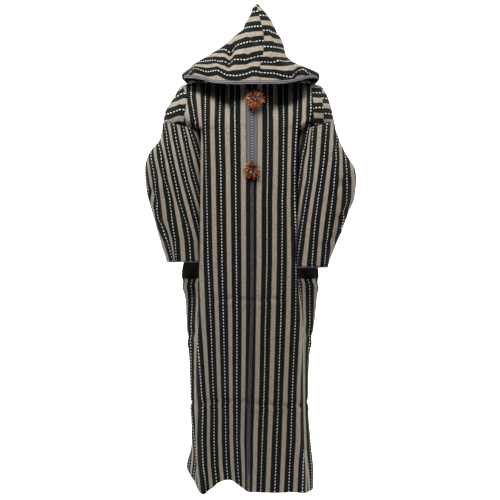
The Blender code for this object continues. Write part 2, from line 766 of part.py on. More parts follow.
def build():
    clear_scene()
    robe = bpy.data.collections.new(NAME)
    bpy.context.scene.collection.children.link(robe)
    for side, word in ((-1, "left"), (1, "right")):
        flip = side > 0
        add_sheet(f"front_{word}", front_rows(side), "striped_wool", robe, flip=not flip)
        add_sheet(f"gore_{word}", gore_rows(side), "striped_wool", robe, flip=not flip)
        add_sheet(f"sleeve_{word}", sleeve_rows(side), "striped_wool", robe, closed=True, flip=flip)
        add_sheet(f"hood_{word}", hood_rows(side), "striped_wool", robe, flip=not flip)
        add_sheet(f"braid_{word}", braid_rows(side), "braid", robe, flip=not flip, wall=BRAID_WALL)
        add_cord(f"cuff_cord_{word}", cuff_cord_points(side), CUFF_CORD_RADIUS, "cord", robe, True)
    add_sheet("back", back_rows(), "striped_wool", robe, flip=True)
    add_sheet("hood_braid", hood_braid_rows(), "braid", robe, flip=True, wall=BRAID_WALL)
    add_cord("slit_cord", slit_cord_points(), SLIT_CORD_RADIUS, "cord", robe, False)
    for values in TASSELS:
        add_tassel(values, robe)


build()
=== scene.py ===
"""The looks of a djellaba: striped wool, braid, cords and yarn tassels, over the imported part.

Metres, +Z up. The robe's front faces -Y, and its left side here is the left of a viewer who faces it.
"""

import math
import random

import bpy
import numpy as np
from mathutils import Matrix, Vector
from mathutils.bvhtree import BVHTree


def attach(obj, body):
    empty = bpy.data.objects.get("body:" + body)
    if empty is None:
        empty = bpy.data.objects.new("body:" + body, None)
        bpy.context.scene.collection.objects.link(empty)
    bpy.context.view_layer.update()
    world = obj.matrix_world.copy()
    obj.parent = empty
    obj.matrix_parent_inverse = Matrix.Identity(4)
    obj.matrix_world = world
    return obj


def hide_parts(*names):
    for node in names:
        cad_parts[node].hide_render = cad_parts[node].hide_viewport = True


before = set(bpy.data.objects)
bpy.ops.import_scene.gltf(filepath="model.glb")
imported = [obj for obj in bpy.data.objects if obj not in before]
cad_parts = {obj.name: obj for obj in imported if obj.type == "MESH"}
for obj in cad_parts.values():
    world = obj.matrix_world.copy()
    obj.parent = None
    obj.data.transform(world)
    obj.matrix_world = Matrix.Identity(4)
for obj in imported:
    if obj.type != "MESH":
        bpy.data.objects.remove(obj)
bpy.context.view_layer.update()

# Cloth and trims
WALL = 0.002
BRAID_WALL = 0.0014
SEAM_GAP = 0.0003
ARMHOLE_GAP = 0.0006
GORE_GAP = 0.0024
TRIM_LIFT = 0.0006
BRAID_LIFT = 0.0008
SLIT_CORD_RADIUS = 0.0016
CUFF_CORD_RADIUS = 0.0020
CUFF_CORD_GAP = 0.0008

# Heights of the body
ARMPIT_Z = -0.186
SHOULDER_SEAM_Z = -0.160
HEM_Z = -1.430

# How far the front's flat share, its fold and the back's corner lie behind or before the middle
FLAT_SHARE = 0.80
FRONT_BOW = 0.010
FOLD_BOW = 0.014
BACK_BOW = 0.026

# Places on the half ring: 0 is the centre front, 2 its fold, 3 the notch, 4 the side, 6 the centre back
FOLD_PLACE = 2.0
FRONT_SEAM = 2.6
BACK_SEAM = 4.6
CENTRE_BACK = 6.0
FRONT_PLACES = ((0.0, 0.0), (0.62, 1.0), (0.78, 2.0), (1.0, FRONT_SEAM))
NECK_SHARE = 3 / 12

# Squares of each cloth
PANEL_COLUMNS = 56
YOKE_ROWS = 34
BODY_ROWS = 170
GORE_COLUMNS = 36
SLEEVE_COLUMNS = 96
SLEEVE_ROWS = 90
HOOD_COLUMNS = 84
HOOD_ROWS = 70
HOOD_RETURN_ROWS = 18

# Body sections. All widths are from the centre line; front and back are the Y of the panels' middles.
BODY_COLUMNS = ("z", "front", "fold", "notch_x", "notch_y", "side", "side_y", "corner", "back")
BODY_LEFT = (
    (-0.186, -0.129, 0.172, 0.152, -0.020, 0.164, 0.062, 0.136, 0.118),
    (-0.300, -0.132, 0.174, 0.148, -0.022, 0.168, 0.066, 0.142, 0.128),
    (-0.460, -0.134, 0.175, 0.148, -0.026, 0.196, 0.058, 0.146, 0.134),
    (-0.630, -0.136, 0.176, 0.152, -0.034, 0.236, 0.046, 0.156, 0.138),
    (-0.700, -0.137, 0.178, 0.172, -0.062, 0.247, 0.030, 0.162, 0.139),
    (-0.770, -0.137, 0.178, 0.178, -0.080, 0.235, 0.024, 0.160, 0.140),
    (-0.880, -0.138, 0.178, 0.188, -0.084, 0.225, 0.020, 0.160, 0.141),
    (-0.960, -0.138, 0.176, 0.194, -0.080, 0.215, 0.016, 0.158, 0.142),
    (-1.150, -0.140, 0.170, 0.194, -0.080, 0.210, 0.012, 0.156, 0.144),
    (-1.280, -0.142, 0.168, 0.192, -0.084, 0.207, 0.020, 0.160, 0.148),
    (-1.360, -0.143, 0.168, 0.188, -0.090, 0.212, 0.036, 0.172, 0.152),
    (-1.430, -0.144, 0.168, 0.184, -0.096, 0.228, 0.046, 0.176, 0.156),
)
BODY_RIGHT = (
    (-0.186, -0.129, 0.156, 0.138, -0.020, 0.152, 0.062, 0.134, 0.118),
    (-0.300, -0.132, 0.153, 0.132, -0.022, 0.160, 0.066, 0.140, 0.128),
    (-0.460, -0.134, 0.151, 0.130, -0.028, 0.188, 0.060, 0.146, 0.134),
    (-0.630, -0.136, 0.150, 0.134, -0.036, 0.226, 0.050, 0.154, 0.138),
    (-0.700, -0.137, 0.154, 0.156, -0.062, 0.237, 0.030, 0.158, 0.139),
    (-0.780, -0.137, 0.157, 0.168, -0.080, 0.229, 0.024, 0.156, 0.140),
    (-0.880, -0.138, 0.158, 0.176, -0.084, 0.212, 0.020, 0.154, 0.141),
    (-0.960, -0.138, 0.158, 0.178, -0.080, 0.197, 0.016, 0.150, 0.142),
    (-1.150, -0.140, 0.158, 0.180, -0.080, 0.193, 0.014, 0.148, 0.144),
    (-1.290, -0.142, 0.162, 0.184, -0.084, 0.204, 0.016, 0.152, 0.148),
    (-1.360, -0.143, 0.164, 0.188, -0.086, 0.211, 0.020, 0.156, 0.152),
    (-1.430, -0.144, 0.164, 0.188, -0.088, 0.210, 0.024, 0.158, 0.156),
)

# The shoulder, from the neck over the shoulder seam to the outer arm
NECK_HALF_WIDTH = 0.082
NECK_MIDDLE_Y = -0.004
NECK_SIDE_Z = -0.014
NECK_FRONT = (-0.112, -0.030)
NECK_BACK = (0.082, -0.004)
SHOULDER_LEFT = (
    (0.082, -0.004, -0.014),
    (0.150, -0.006, -0.019),
    (0.215, -0.010, -0.023),
    (0.249, -0.014, -0.035),
    (0.268, -0.018, -0.070),
    (0.296, -0.020, -0.113),
    (0.306, -0.022, -0.160),
)
SHOULDER_RIGHT = (
    (0.082, -0.004, -0.014),
    (0.150, -0.006, -0.019),
    (0.211, -0.010, -0.024),
    (0.242, -0.014, -0.035),
    (0.262, -0.018, -0.072),
    (0.275, -0.020, -0.116),
    (0.284, -0.022, -0.160),
)
FRONT_ARMHOLE_TURN = 0.40
BACK_ARMHOLE_TURN = 0.60
ARMHOLE_LEVEL = 0.10
ARMHOLE_FALL = 0.30
CHEST_BULGE = 0.010
BACK_BULGE = 0.016

# Sleeve sections: outer and inner edge from the centre line, front and back of the tube
SLEEVE_TABLE_COLUMNS = ("z", "outer", "inner", "front", "back")
SLEEVE_LEFT = (
    (-0.160, 0.306, 0.180, -0.112, 0.100),
    (-0.200, 0.312, 0.1770, -0.122, 0.090),
    (-0.220, 0.317, 0.177, -0.126, 0.083),
    (-0.254, 0.345, 0.175, -0.133, 0.070),
    (-0.288, 0.362, 0.1742, -0.139, 0.058),
    (-0.330, 0.366, 0.174, -0.146, 0.044),
    (-0.395, 0.359, 0.1745, -0.152, 0.024),
    (-0.465, 0.341, 0.177, -0.156, 0.006),
    (-0.530, 0.322, 0.1795, -0.158, -0.010),
    (-0.590, 0.305, 0.1803, -0.158, -0.026),
    (-0.636, 0.291, 0.1808, -0.158, -0.038),
)
SLEEVE_RIGHT = (
    (-0.160, 0.284, 0.163, -0.112, 0.100),
    (-0.200, 0.294, 0.1595, -0.124, 0.090),
    (-0.260, 0.318, 0.156, -0.138, 0.068),
    (-0.325, 0.354, 0.1545, -0.150, 0.044),
    (-0.420, 0.350, 0.154, -0.158, 0.016),
    (-0.465, 0.331, 0.1545, -0.161, 0.004),
    (-0.530, 0.306, 0.155, -0.163, -0.012),
    (-0.590, 0.281, 0.1552, -0.164, -0.028),
    (-0.654, 0.259, 0.1557, -0.164, -0.040),
)
SLEEVE_SQUARENESS = 2.5

# Hood sections by height: its left and right edge, the seam, and the Y of its front, middle and back
HOOD_TABLE_COLUMNS = ("z", "left", "right", "seam", "front", "middle", "back")
HOOD = (
    (0.252, 0.012, 0.022, 0.017, -0.029, -0.024, -0.019),
    (0.235, 0.002, 0.036, 0.019, -0.044, -0.021, 0.000),
    (0.212, -0.006, 0.053, 0.024, -0.062, -0.016, 0.024),
    (0.184, -0.023, 0.072, 0.030, -0.078, -0.011, 0.045),
    (0.164, -0.030, 0.081, 0.035, -0.090, -0.009, 0.058),
    (0.149, -0.049, 0.087, 0.038, -0.098, -0.008, 0.068),
    (0.132, -0.070, 0.100, 0.040, -0.106, -0.008, 0.077),
    (0.114, -0.087, 0.107, 0.041, -0.113, -0.008, 0.085),
    (0.097, -0.112, 0.111, 0.040, -0.126, -0.009, 0.098),
    (0.080, -0.140, 0.115, 0.039, -0.135, -0.011, 0.107),
    (0.062, -0.168, 0.126, 0.036, -0.144, -0.013, 0.115),
    (0.045, -0.198, 0.150, 0.031, -0.153, -0.014, 0.120),
    (0.028, -0.219, 0.194, 0.029, -0.164, -0.016, 0.125),
    (0.010, -0.240, 0.229, 0.028, -0.175, -0.018, 0.129),
    (-0.008, -0.238, 0.231, 0.028, -0.183, -0.020, 0.130),
    (-0.042, -0.230, 0.226, 0.028, -0.190, -0.022, 0.122),
    (-0.070, -0.230, 0.226, 0.028, -0.190, -0.022, 0.118),
)
HOOD_TOP_Z = 0.252
HOOD_TIP = (0.017, -0.024, 0.254)
HOOD_TIP_SHARE = 0.40
HOOD_SQUARENESS = 0.9
HOOD_FOLD_EASE = 0.07
HOOD_EDGE_COLUMNS = ("turn", "left_z", "right_z")
HOOD_EDGE = (
    (0.00, -0.040, -0.040),
    (0.10, -0.039, -0.038),
    (0.20, -0.033, -0.028),
    (0.30, -0.016, -0.014),
    (0.42, -0.009, -0.010),
    (0.50, -0.008, -0.009),
    (0.62, -0.018, -0.020),
    (0.80, -0.046, -0.048),
    (1.00, -0.054, -0.054),
)
HOOD_RETURN_TURN = 0.43
HOOD_DIP = 0.008
# The first share of the return, over which it dips
HOOD_TURN_SHARE = 0.05
NECK_LEAN = 1.2
HOOD_LIFT = 0.0020
HOOD_FOLD_COLUMNS = ("turn", "width", "depth", "from_z")
HOOD_FOLDS_LEFT = ((0.24, 0.055, 0.014, 0.060), (0.10, 0.030, -0.005, 0.100), (0.72, 0.060, 0.010, 0.080))
HOOD_FOLDS_RIGHT = ((0.30, 0.050, 0.016, 0.030), (0.13, 0.035, -0.006, 0.120), (0.70, 0.060, 0.010, 0.080))

# Folds that run down the body: where they lie on the half ring, how deep, and between which heights
BODY_FOLD_COLUMNS = ("place", "width", "depth", "top", "bottom")
BODY_FOLDS_LEFT = (
    (3.35, 0.22, 0.014, -0.60, -1.50),
    (4.25, 0.22, 0.018, -0.36, -1.50),
    (4.80, 0.16, -0.008, -0.50, -1.60),
    (5.25, 0.18, 0.018, -0.42, -1.50),
    (5.62, 0.14, -0.008, -0.30, -1.60),
    (5.86, 0.12, 0.008, -0.55, -1.60),
    (1.20, 0.16, 0.007, -1.00, -1.60),
)
BODY_FOLDS_RIGHT = (
    (3.30, 0.22, 0.014, -0.62, -1.50),
    (4.20, 0.22, 0.017, -0.40, -1.50),
    (4.85, 0.16, -0.009, -0.60, -1.60),
    (5.20, 0.18, 0.019, -0.36, -1.50),
    (5.55, 0.14, -0.007, -0.45, -1.60),
    (1.10, 0.16, 0.004, -1.05, -1.60),
)
FOLD_EASE = 0.20

# The hem's height above its lowest line, by place on the half ring
HEM_RISE_LEFT = (
    (0.00, 0.010),
    (0.22, 0.031),
    (0.45, 0.051),
    (0.72, 0.042),
    (0.94, 0.021),
    (1.40, 0.003),
    (2.00, 0.002),
    (2.60, 0.006),
    (3.00, 0.014),
    (3.40, 0.040),
    (3.80, 0.074),
    (4.20, 0.082),
    (6.00, 0.035),
)
HEM_RISE_RIGHT = (
    (0.00, 0.010),
    (0.60, 0.007),
    (1.20, 0.008),
    (2.00, 0.006),
    (3.00, 0.002),
    (3.60, 0.004),
    (4.40, 0.018),
    (6.00, 0.035),
)
HEM_EASE = 0.35

# The centre seam leans to the left below the waist
SEAM_LEAN = -0.012
LEAN_TOP = -0.70
LEAN_EASE = 0.60

# The neck slit and its braids, by height
SLIT_TOP = -0.050
SLIT_CLOSED = -0.105
SLIT_BOTTOM = -0.312
SLIT_HALF_WIDTH = 0.009
SLIT_CORD_TOP = -0.126
SLIT_CORD_BOTTOM = -0.298
BRAID_INNER = 0.0035
BRAID_OUTER = 0.0190
HOOD_BRAID_WIDTH = 0.012
HOOD_BRAID_HEM = 0.001
HOOD_BRAID_TURN = 0.41
HOOD_BRAID_ROW_SHARE = 0.87

# Tassel strands, none of which points closer to the viewer than this share
STRAND_RADIUS = 0.0015
TASSEL_HOLE = 0.96

# A painted shadow across the side pieces, below the cuffs: a plain dark band for the shade that the cuffs
# cast.
# The mark scales its depth in the map, and the level is the place in the repeat that all of it takes
CUFF_SHADOW_Z = -0.645
CUFF_SHADOW_HEIGHT = 0.115
CUFF_SHADOW_MARK = 0.02
CUFF_SHADOW_LEVEL = 0.004

# Crossed stitches on the centre seam
CROSS_PITCH = 0.0070
CROSS_HALF_WIDTH = 0.0058
CROSS_RADIUS = 0.0011
CROSS_START = 0.052
CROSS_END = 0.012

# Creases, each a line of points, the width and the depth of its trough; a negative depth is a ridge
FRONT_CREASES = (
    (
        ((-0.190, -0.758), (-0.125, -0.770), (-0.070, -0.764), (-0.010, -0.770), (0.150, -0.762)),
        0.0085,
        0.0085,
    ),
    (
        ((-0.230, -1.130), (-0.100, -1.112), (0.010, -1.120), (0.120, -1.131), (0.230, -1.118)),
        0.0085,
        0.0100,
    ),
    (((-0.140, -1.180), (-0.040, -1.168), (0.080, -1.180)), 0.009, 0.0022),
    (((-0.060, -1.432), (-0.058, -1.350), (-0.046, -1.200), (-0.030, -1.060)), 0.012, 0.0040),
    (((-0.150, -0.420), (-0.147, -0.560), (-0.140, -0.700)), 0.012, 0.0022),
    (((0.128, -0.330), (0.122, -0.480), (0.130, -0.640)), 0.012, 0.0026),
    (((0.148, -0.560), (0.150, -0.760), (0.146, -0.900)), 0.008, 0.0030),
    (((-0.225, -0.050), (-0.205, -0.105), (-0.182, -0.176)), 0.009, 0.0050),
    (((-0.250, -0.075), (-0.222, -0.125), (-0.188, -0.172)), 0.008, 0.0045),
    (((0.200, -0.042), (0.186, -0.100), (0.166, -0.174)), 0.009, 0.0045),
    (((0.232, -0.070), (0.204, -0.122), (0.174, -0.172)), 0.008, 0.0045),
    (((0.085, -0.960), (0.096, -1.100), (0.088, -1.260)), 0.012, 0.0022),
    (((-0.100, -0.900), (-0.092, -1.040)), 0.012, 0.0018),
)
BACK_CREASES = (
    (((0.225, -0.060), (0.190, -0.120), (0.160, -0.176)), 0.010, 0.0050),
    (((-0.225, -0.060), (-0.196, -0.122), (-0.164, -0.176)), 0.010, 0.0050),
    (((-0.130, -0.780), (-0.040, -0.766), (0.060, -0.778)), 0.008, 0.0030),
    (((-0.150, -1.122), (-0.020, -1.110), (0.140, -1.126)), 0.008, 0.0034),
    (((0.050, -0.200), (0.036, -0.380), (0.050, -0.560)), 0.014, 0.0040),
    (((-0.070, -0.160), (-0.062, -0.330), (-0.084, -0.520)), 0.014, 0.0036),
)
GORE_CREASES = (
    (((-0.060, -0.690), (0.010, -0.712), (0.080, -0.700)), 0.010, 0.0040),
    (((-0.070, -0.860), (0.000, -0.900), (0.060, -0.880)), 0.012, 0.0040),
    (((-0.050, -1.120), (0.070, -1.132)), 0.010, 0.0040),
    (((0.020, -0.560), (0.012, -0.800), (0.022, -1.050)), 0.012, 0.0040),
)
SLEEVE_LEFT_CREASES = (
    (((-0.320, -0.235), (-0.299, -0.286), (-0.262, -0.321), (-0.245, -0.347)), 0.008, 0.0060),
    (
        (
            (-0.337, -0.306), (-0.306, -0.350), (-0.274, -0.405),
            (-0.245, -0.449), (-0.216, -0.507), (-0.182, -0.544),
        ),
        0.009,
        0.0070,
    ),
    (((-0.357, -0.371), (-0.332, -0.415), (-0.306, -0.466)), 0.008, 0.0060),
    (((-0.326, -0.486), (-0.269, -0.564)), 0.009, 0.0050),
    (((-0.300, -0.175), (-0.285, -0.220), (-0.250, -0.262)), 0.010, 0.0040),
    (((-0.225, -0.200), (-0.214, -0.280), (-0.200, -0.350)), 0.009, 0.0040),
)
SLEEVE_RIGHT_CREASES = (
    (((0.300, -0.215), (0.284, -0.260), (0.262, -0.300)), 0.008, 0.0050),
    (((0.345, -0.330), (0.310, -0.362), (0.270, -0.420), (0.230, -0.455)), 0.009, 0.0060),
    (((0.340, -0.430), (0.312, -0.470), (0.272, -0.510)), 0.009, 0.0055),
    (((0.290, -0.545), (0.255, -0.575), (0.215, -0.590)), 0.009, 0.0045),
    (((0.190, -0.220), (0.200, -0.300), (0.186, -0.400)), 0.010, 0.0040),
    (((0.318, -0.560), (0.300, -0.534), (0.285, -0.528)), 0.006, -0.0050),
)
# These lie by X and height on the hood's front, and again on its back
HOOD_LEFT_CREASES = (
    (((-0.052, 0.128), (-0.066, 0.090), (-0.076, 0.050), (-0.082, -0.012)), 0.010, 0.0090),
    (((-0.030, 0.080), (-0.006, 0.064), (0.008, 0.054)), 0.006, 0.0070),
    (((0.026, 0.066), (0.004, 0.034), (-0.022, 0.010)), 0.007, -0.0050),
    (((-0.190, 0.020), (-0.158, -0.004), (-0.120, -0.014)), 0.008, 0.0040),
    (((-0.016, 0.150), (-0.002, 0.122), (0.020, 0.108)), 0.007, 0.0040),
    (((-0.130, 0.060), (-0.104, 0.034), (-0.100, 0.000)), 0.008, 0.0040),
)
HOOD_RIGHT_CREASES = (
    (((0.078, 0.070), (0.066, 0.056), (0.052, 0.046)), 0.006, 0.0080),
    (((0.154, 0.028), (0.146, 0.006), (0.134, -0.016)), 0.008, 0.0080),
    (((0.062, 0.160), (0.072, 0.128), (0.090, 0.104)), 0.007, 0.0040),
    (((0.050, 0.070), (0.086, 0.040), (0.120, 0.030)), 0.008, -0.0040),
    (((0.196, 0.012), (0.176, -0.004), (0.166, -0.018)), 0.007, 0.0040),
)
# A crease's ends fade over this share of it. The ridge beside it, as shares of its depth and width
CREASE_END_SHARE = 0.3
RIDGE_HEIGHT = 0.5
RIDGE_PLACE = 1.9
RIDGE_WIDTH = 1.1
# Where creases fade: at the sleeve's ends, round its sides, at the back's sides and at the hood's edges
SLEEVE_TOP_HOLD = 0.05
SLEEVE_CUFF_HOLD = 0.04
SIDE_SHARE = 0.25
SIDE_EASE = 0.7
BACK_SIDE_SHARE = 0.14
HOOD_TIP_HOLD = 0.15
HOOD_EDGE_HOLD = 0.10
HOOD_SEAM_HOLD = 0.04
# The sleeve's creases come again on its back, this much lower
BACK_CREASE_SHIFT = 0.018
# How much of a crease the first rows below the shoulder seam take
TOP_ROWS_HELD = (0.0, 0.1, 0.4, 0.8)

# The woven stripes: one repeat holds a dark band, with a dashed line at its middle, and a beige band
STRIPE_PITCH = 0.0500
DASH_HALF_WIDTH = 0.0018
DASH_PITCH = 0.0108
DASH_SHARE = 0.52
# Repeats of the dash for each metre across it
DASH_SLANT = 35.0
THREAD_PITCH = 0.0021
WEFT_PITCH = 0.0030
# Below the armpit the cloth is let out over this height
ARMPIT_RELAX = 0.10
# The least that a stripe narrows where the cloth turns away, as a share of its own width
LEAST_SHARE = 0.55
HOOD_LEAST_SHARE = 0.35
# Where the hood falls by more than this share of a step, its lines lie as the tables say
HOOD_STEEP_SHARE = 0.25
# Pieces other than the fronts count their lines from here, since the fronts' centre line has no dashes
FAR_LINE = 20
GORE_STRIPE_SHIFT = 0.012

# The fronts' dashed lines by height: the X of four on the left, the centre seam, and four on the right
FRONT_CENTRE_LINE = 4
FRONT_LINES = (
    (-0.006, -0.210, -0.160, -0.109, -0.057, -0.002, 0.052, 0.107, 0.161, 0.204),
    (-0.074, -0.208, -0.160, -0.109, -0.057, -0.002, 0.052, 0.107, 0.158, 0.202),
    (-0.156, -0.193, -0.160, -0.111, -0.058, -0.002, 0.054, 0.108, 0.154, 0.198),
    (-0.241, -0.182, -0.159, -0.109, -0.057, -0.002, 0.054, 0.107, 0.149, 0.182),
    (-0.326, -0.185, -0.157, -0.106, -0.056, -0.002, 0.053, 0.106, 0.146, 0.173),
    (-0.428, -0.192, -0.155, -0.105, -0.055, -0.003, 0.051, 0.103, 0.146, 0.177),
    (-0.632, -0.197, -0.150, -0.102, -0.053, -0.003, 0.051, 0.102, 0.151, 0.197),
    (-0.836, -0.190, -0.140, -0.097, -0.051, -0.004, 0.046, 0.098, 0.148, 0.190),
    (-1.040, -0.173, -0.133, -0.092, -0.052, -0.007, 0.042, 0.091, 0.139, 0.177),
    (-1.142, -0.166, -0.128, -0.090, -0.052, -0.009, 0.039, 0.088, 0.136, 0.177),
    (-1.244, -0.168, -0.129, -0.089, -0.052, -0.013, 0.035, 0.084, 0.133, 0.180),
    (-1.329, -0.165, -0.126, -0.086, -0.048, -0.012, 0.032, 0.081, 0.128, 0.173),
    (-1.421, -0.156, -0.117, -0.078, -0.041, -0.014, 0.029, 0.077, 0.124, 0.170),
)
# The sleeves' dashed lines by height, in the order of X
SLEEVE_LEFT_LINES = (
    (-0.153, -0.373, -0.349, -0.325, -0.300, -0.270, -0.240, -0.226, -0.192),
    (-0.222, -0.373, -0.349, -0.321, -0.291, -0.258, -0.226, -0.201, -0.168),
    (-0.290, -0.369, -0.342, -0.308, -0.277, -0.243, -0.213, -0.181, -0.144),
    (-0.359, -0.359, -0.328, -0.296, -0.261, -0.227, -0.197, -0.166, -0.129),
    (-0.427, -0.349, -0.326, -0.278, -0.247, -0.208, -0.178, -0.147, -0.109),
    (-0.495, -0.347, -0.318, -0.271, -0.226, -0.191, -0.157, -0.123, -0.085),
    (-0.564, -0.325, -0.287, -0.261, -0.213, -0.174, -0.137, -0.099, -0.062),
    (-0.632, -0.301, -0.268, -0.257, -0.209, -0.168, -0.130, -0.092, -0.055),
)
SLEEVE_RIGHT_LINES = (
    (-0.153, 0.168, 0.200, 0.210, 0.256, 0.291, 0.311, 0.335),
    (-0.222, 0.140, 0.186, 0.205, 0.250, 0.289, 0.313, 0.342),
    (-0.290, 0.130, 0.173, 0.200, 0.245, 0.286, 0.318, 0.356),
    (-0.359, 0.120, 0.164, 0.195, 0.235, 0.279, 0.323, 0.366),
    (-0.427, 0.106, 0.152, 0.185, 0.224, 0.272, 0.320, 0.363),
    (-0.495, 0.103, 0.146, 0.174, 0.215, 0.263, 0.310, 0.352),
    (-0.564, 0.099, 0.133, 0.165, 0.209, 0.253, 0.296, 0.335),
    (-0.646, 0.092, 0.123, 0.153, 0.203, 0.245, 0.284, 0.325),
)
# The hood's dashed lines from the lowest up, each by X and height
HOOD_LEFT_LINES = (
    (
        (-0.233, -0.013), (-0.196, 0.023), (-0.152, 0.008), (-0.116, 0.011), (-0.086, -0.007),
        (-0.052, -0.011), (-0.017, -0.003), (0.004, 0.006), (0.027, 0.002),
    ),
    (
        (-0.210, 0.043), (-0.158, 0.046), (-0.122, 0.048), (-0.082, 0.036),
        (-0.061, 0.048), (-0.021, 0.046), (0.000, 0.053), (0.027, 0.060),
    ),
    ((-0.126, 0.089), (-0.099, 0.086), (-0.076, 0.075), (-0.061, 0.098), (-0.026, 0.108), (0.027, 0.115)),
    ((-0.055, 0.154), (-0.021, 0.165), (0.027, 0.167)),
    ((-0.021, 0.219), (0.028, 0.223)),
)
HOOD_RIGHT_LINES = (
    (
        (0.030, 0.001), (0.078, -0.002), (0.108, -0.011), (0.134, -0.014),
        (0.152, 0.008), (0.172, 0.016), (0.196, 0.004), (0.227, -0.013),
    ),
    ((0.030, 0.038), (0.069, 0.038), (0.112, 0.042), (0.149, 0.053)),
    ((0.031, 0.094), (0.104, 0.092)),
    ((0.031, 0.152), (0.062, 0.152), (0.083, 0.142)),
    ((0.031, 0.207), (0.057, 0.207)),
)
# The block of level stripes over each upper arm: its inner edge by height, and two of its dashed lines
BLOCK_LEFT_EDGE = ((-0.160, 0.232), (-0.078, 0.221), (-0.034, 0.238))
BLOCK_RIGHT_EDGE = ((-0.160, 0.211), (-0.034, 0.207))
BLOCK_LEFT_LINES = (((0.238, -0.061), (0.259, -0.073)), ((0.246, -0.121), (0.282, -0.132)))
BLOCK_RIGHT_LINES = (((0.214, -0.059), (0.240, -0.059)), ((0.214, -0.113), (0.240, -0.113)))
BLOCK_LINE_PITCH = 0.054
BLOCK_END = 0.020
OUT_OF_BLOCK = -0.01
# The right block's lines shift past this X, and the left block's map is held short of it
FORWARD_SEAM_X = 0.2435
FORWARD_SEAM_SHIFT = 0.019
LEFT_BLOCK_STOP = 0.001

random.seed(7)


def srgb(red, green, blue):
    """A colour read off the photo, as linear values with alpha."""
    values = []
    for value in (red, green, blue):
        share = value / 255
        values.append(share / 12.92 if share <= 0.04045 else ((share + 0.055) / 1.055) ** 2.4)
    return (*values, 1.0)


def hermite(before, start, end, after, share):
    """A Catmull-Rom step from start to end, for numbers or vectors."""
    square = share * share
    cube = square * share
    return 0.5 * (
        2 * start
        + (end - before) * share
        + (2 * before - 5 * start + 4 * end - after) * square
        + (3 * start - before - 3 * end + after) * cube
    )


def through(points, place):
    """The point at place, 0 to len - 1, on a smooth line through the points."""
    last = len(points) - 1
    step = min(int(max(place, 0.0)), last - 1)
    share = min(max(place, 0.0), last) - step
    before = points[max(step - 1, 0)]
    after = points[min(step + 2, last)]
    return hermite(before, points[step], points[step + 1], after, share)


def row_at(table, key):
    """A table's row at a key of its first column, on a smooth line through the rows."""
    rising = table[-1][0] > table[0][0]
    rows = table if rising else table[::-1]
    if key <= rows[0][0]:
        return rows[0]
    for index in range(len(rows) - 1):
        low, high = rows[index], rows[index + 1]
        if key <= high[0]:
            share = (key - low[0]) / (high[0] - low[0])
            before = rows[max(index - 1, 0)]
            after = rows[min(index + 2, len(rows) - 1)]
            return tuple(hermite(a, b, c, d, share) for a, b, c, d in zip(before, low, high, after))
    return rows[-1]


def bump(distance, width):
    """One at the middle of a fold, falling softly to nothing."""
    return math.exp(-((distance / width) ** 2))


def ease(share):
    share = min(max(share, 0.0), 1.0)
    return share * share * (3 - 2 * share)


def soft(shares):
    """The same easing as ease, over an array."""
    shares = np.clip(shares, 0.0, 1.0)
    return shares * shares * (3 - 2 * shares)


def body_ring(side, z):
    """The body's half ring at a height, from the centre front to the centre back.

    Its first and last points only steer the ends, so that the front and the back cross the centre square.
    """
    row = dict(zip(BODY_COLUMNS, row_at(BODY_LEFT if side < 0 else BODY_RIGHT, z)))
    flat_front = FLAT_SHARE * row["fold"]
    flat = (
        (-flat_front, row["front"] + FRONT_BOW),
        (0.0, row["front"]),
        (flat_front, row["front"] + FRONT_BOW),
        (row["fold"], row["front"] + FOLD_BOW),
        (row["notch_x"], row["notch_y"]),
        (row["side"], row["side_y"]),
        (row["corner"], row["back"] - BACK_BOW),
        (0.0, row["back"]),
        (-row["corner"], row["back"] - BACK_BOW),
    )
    return [Vector((side * x, y, z)) for x, y in flat]


def ring_place(ring, place):
    step = min(int(max(place, 0.0)), len(ring) - 4)
    return hermite(*ring[step:step + 4], place - step)


def body_folds(side, place, z):
    """How far the long folds draw the cloth in at a place on the half ring."""
    inward = 0.0
    for row in BODY_FOLDS_LEFT if side < 0 else BODY_FOLDS_RIGHT:
        fold = dict(zip(BODY_FOLD_COLUMNS, row))
        strength = ease((fold["top"] - z) / FOLD_EASE) * ease((z - fold["bottom"]) / FOLD_EASE)
        inward += fold["depth"] * strength * bump(place - fold["place"], fold["width"])
    return inward


def hem_rise(side, place):
    return row_at(HEM_RISE_LEFT if side < 0 else HEM_RISE_RIGHT, place)[1]


def seam_shift(z):
    """How far the centre seam lies aside of the middle."""
    return SEAM_LEAN * ease((LEAN_TOP - z) / LEAN_EASE)


def body_point(side, place, z):
    """A point of the body at a place on the half ring, where z is the height before the hem's own line."""
    ring = body_ring(side, z)
    point = ring_place(ring, place)
    step = 0.02
    along = ring_place(ring, place + step) - ring_place(ring, place - step)
    outward = Vector((along.y, -along.x, 0.0)) * side
    outward.normalize()
    point = point - outward * body_folds(side, place, z)
    point.x += seam_shift(z) * max(1.0 - place / FOLD_PLACE, 0.0)
    share = ease((HEM_Z + HEM_EASE - z) / HEM_EASE)
    point.z += hem_rise(side, place) * share
    return point


def shoulder_line(side):
    return [Vector((side * x, y, z)) for x, y, z in (SHOULDER_LEFT if side < 0 else SHOULDER_RIGHT)]


def sleeve_point(side, turn, z):
    """A point of the sleeve: turn 0 is its outer side, 0.25 its front, 0.5 its inner side."""
    row = dict(zip(SLEEVE_TABLE_COLUMNS, row_at(SLEEVE_LEFT if side < 0 else SLEEVE_RIGHT, z)))
    angle = 2 * math.pi * turn
    across = (row["outer"] - row["inner"]) / 2
    deep = (row["back"] - row["front"]) / 2
    power = 2 / SLEEVE_SQUARENESS
    cosine = math.copysign(abs(math.cos(angle)) ** power, math.cos(angle))
    sine = math.copysign(abs(math.sin(angle)) ** power, math.sin(angle))
    x = (row["outer"] + row["inner"]) / 2 + across * cosine
    y = (row["front"] + row["back"]) / 2 - deep * sine
    return Vector((side * x, y, z))


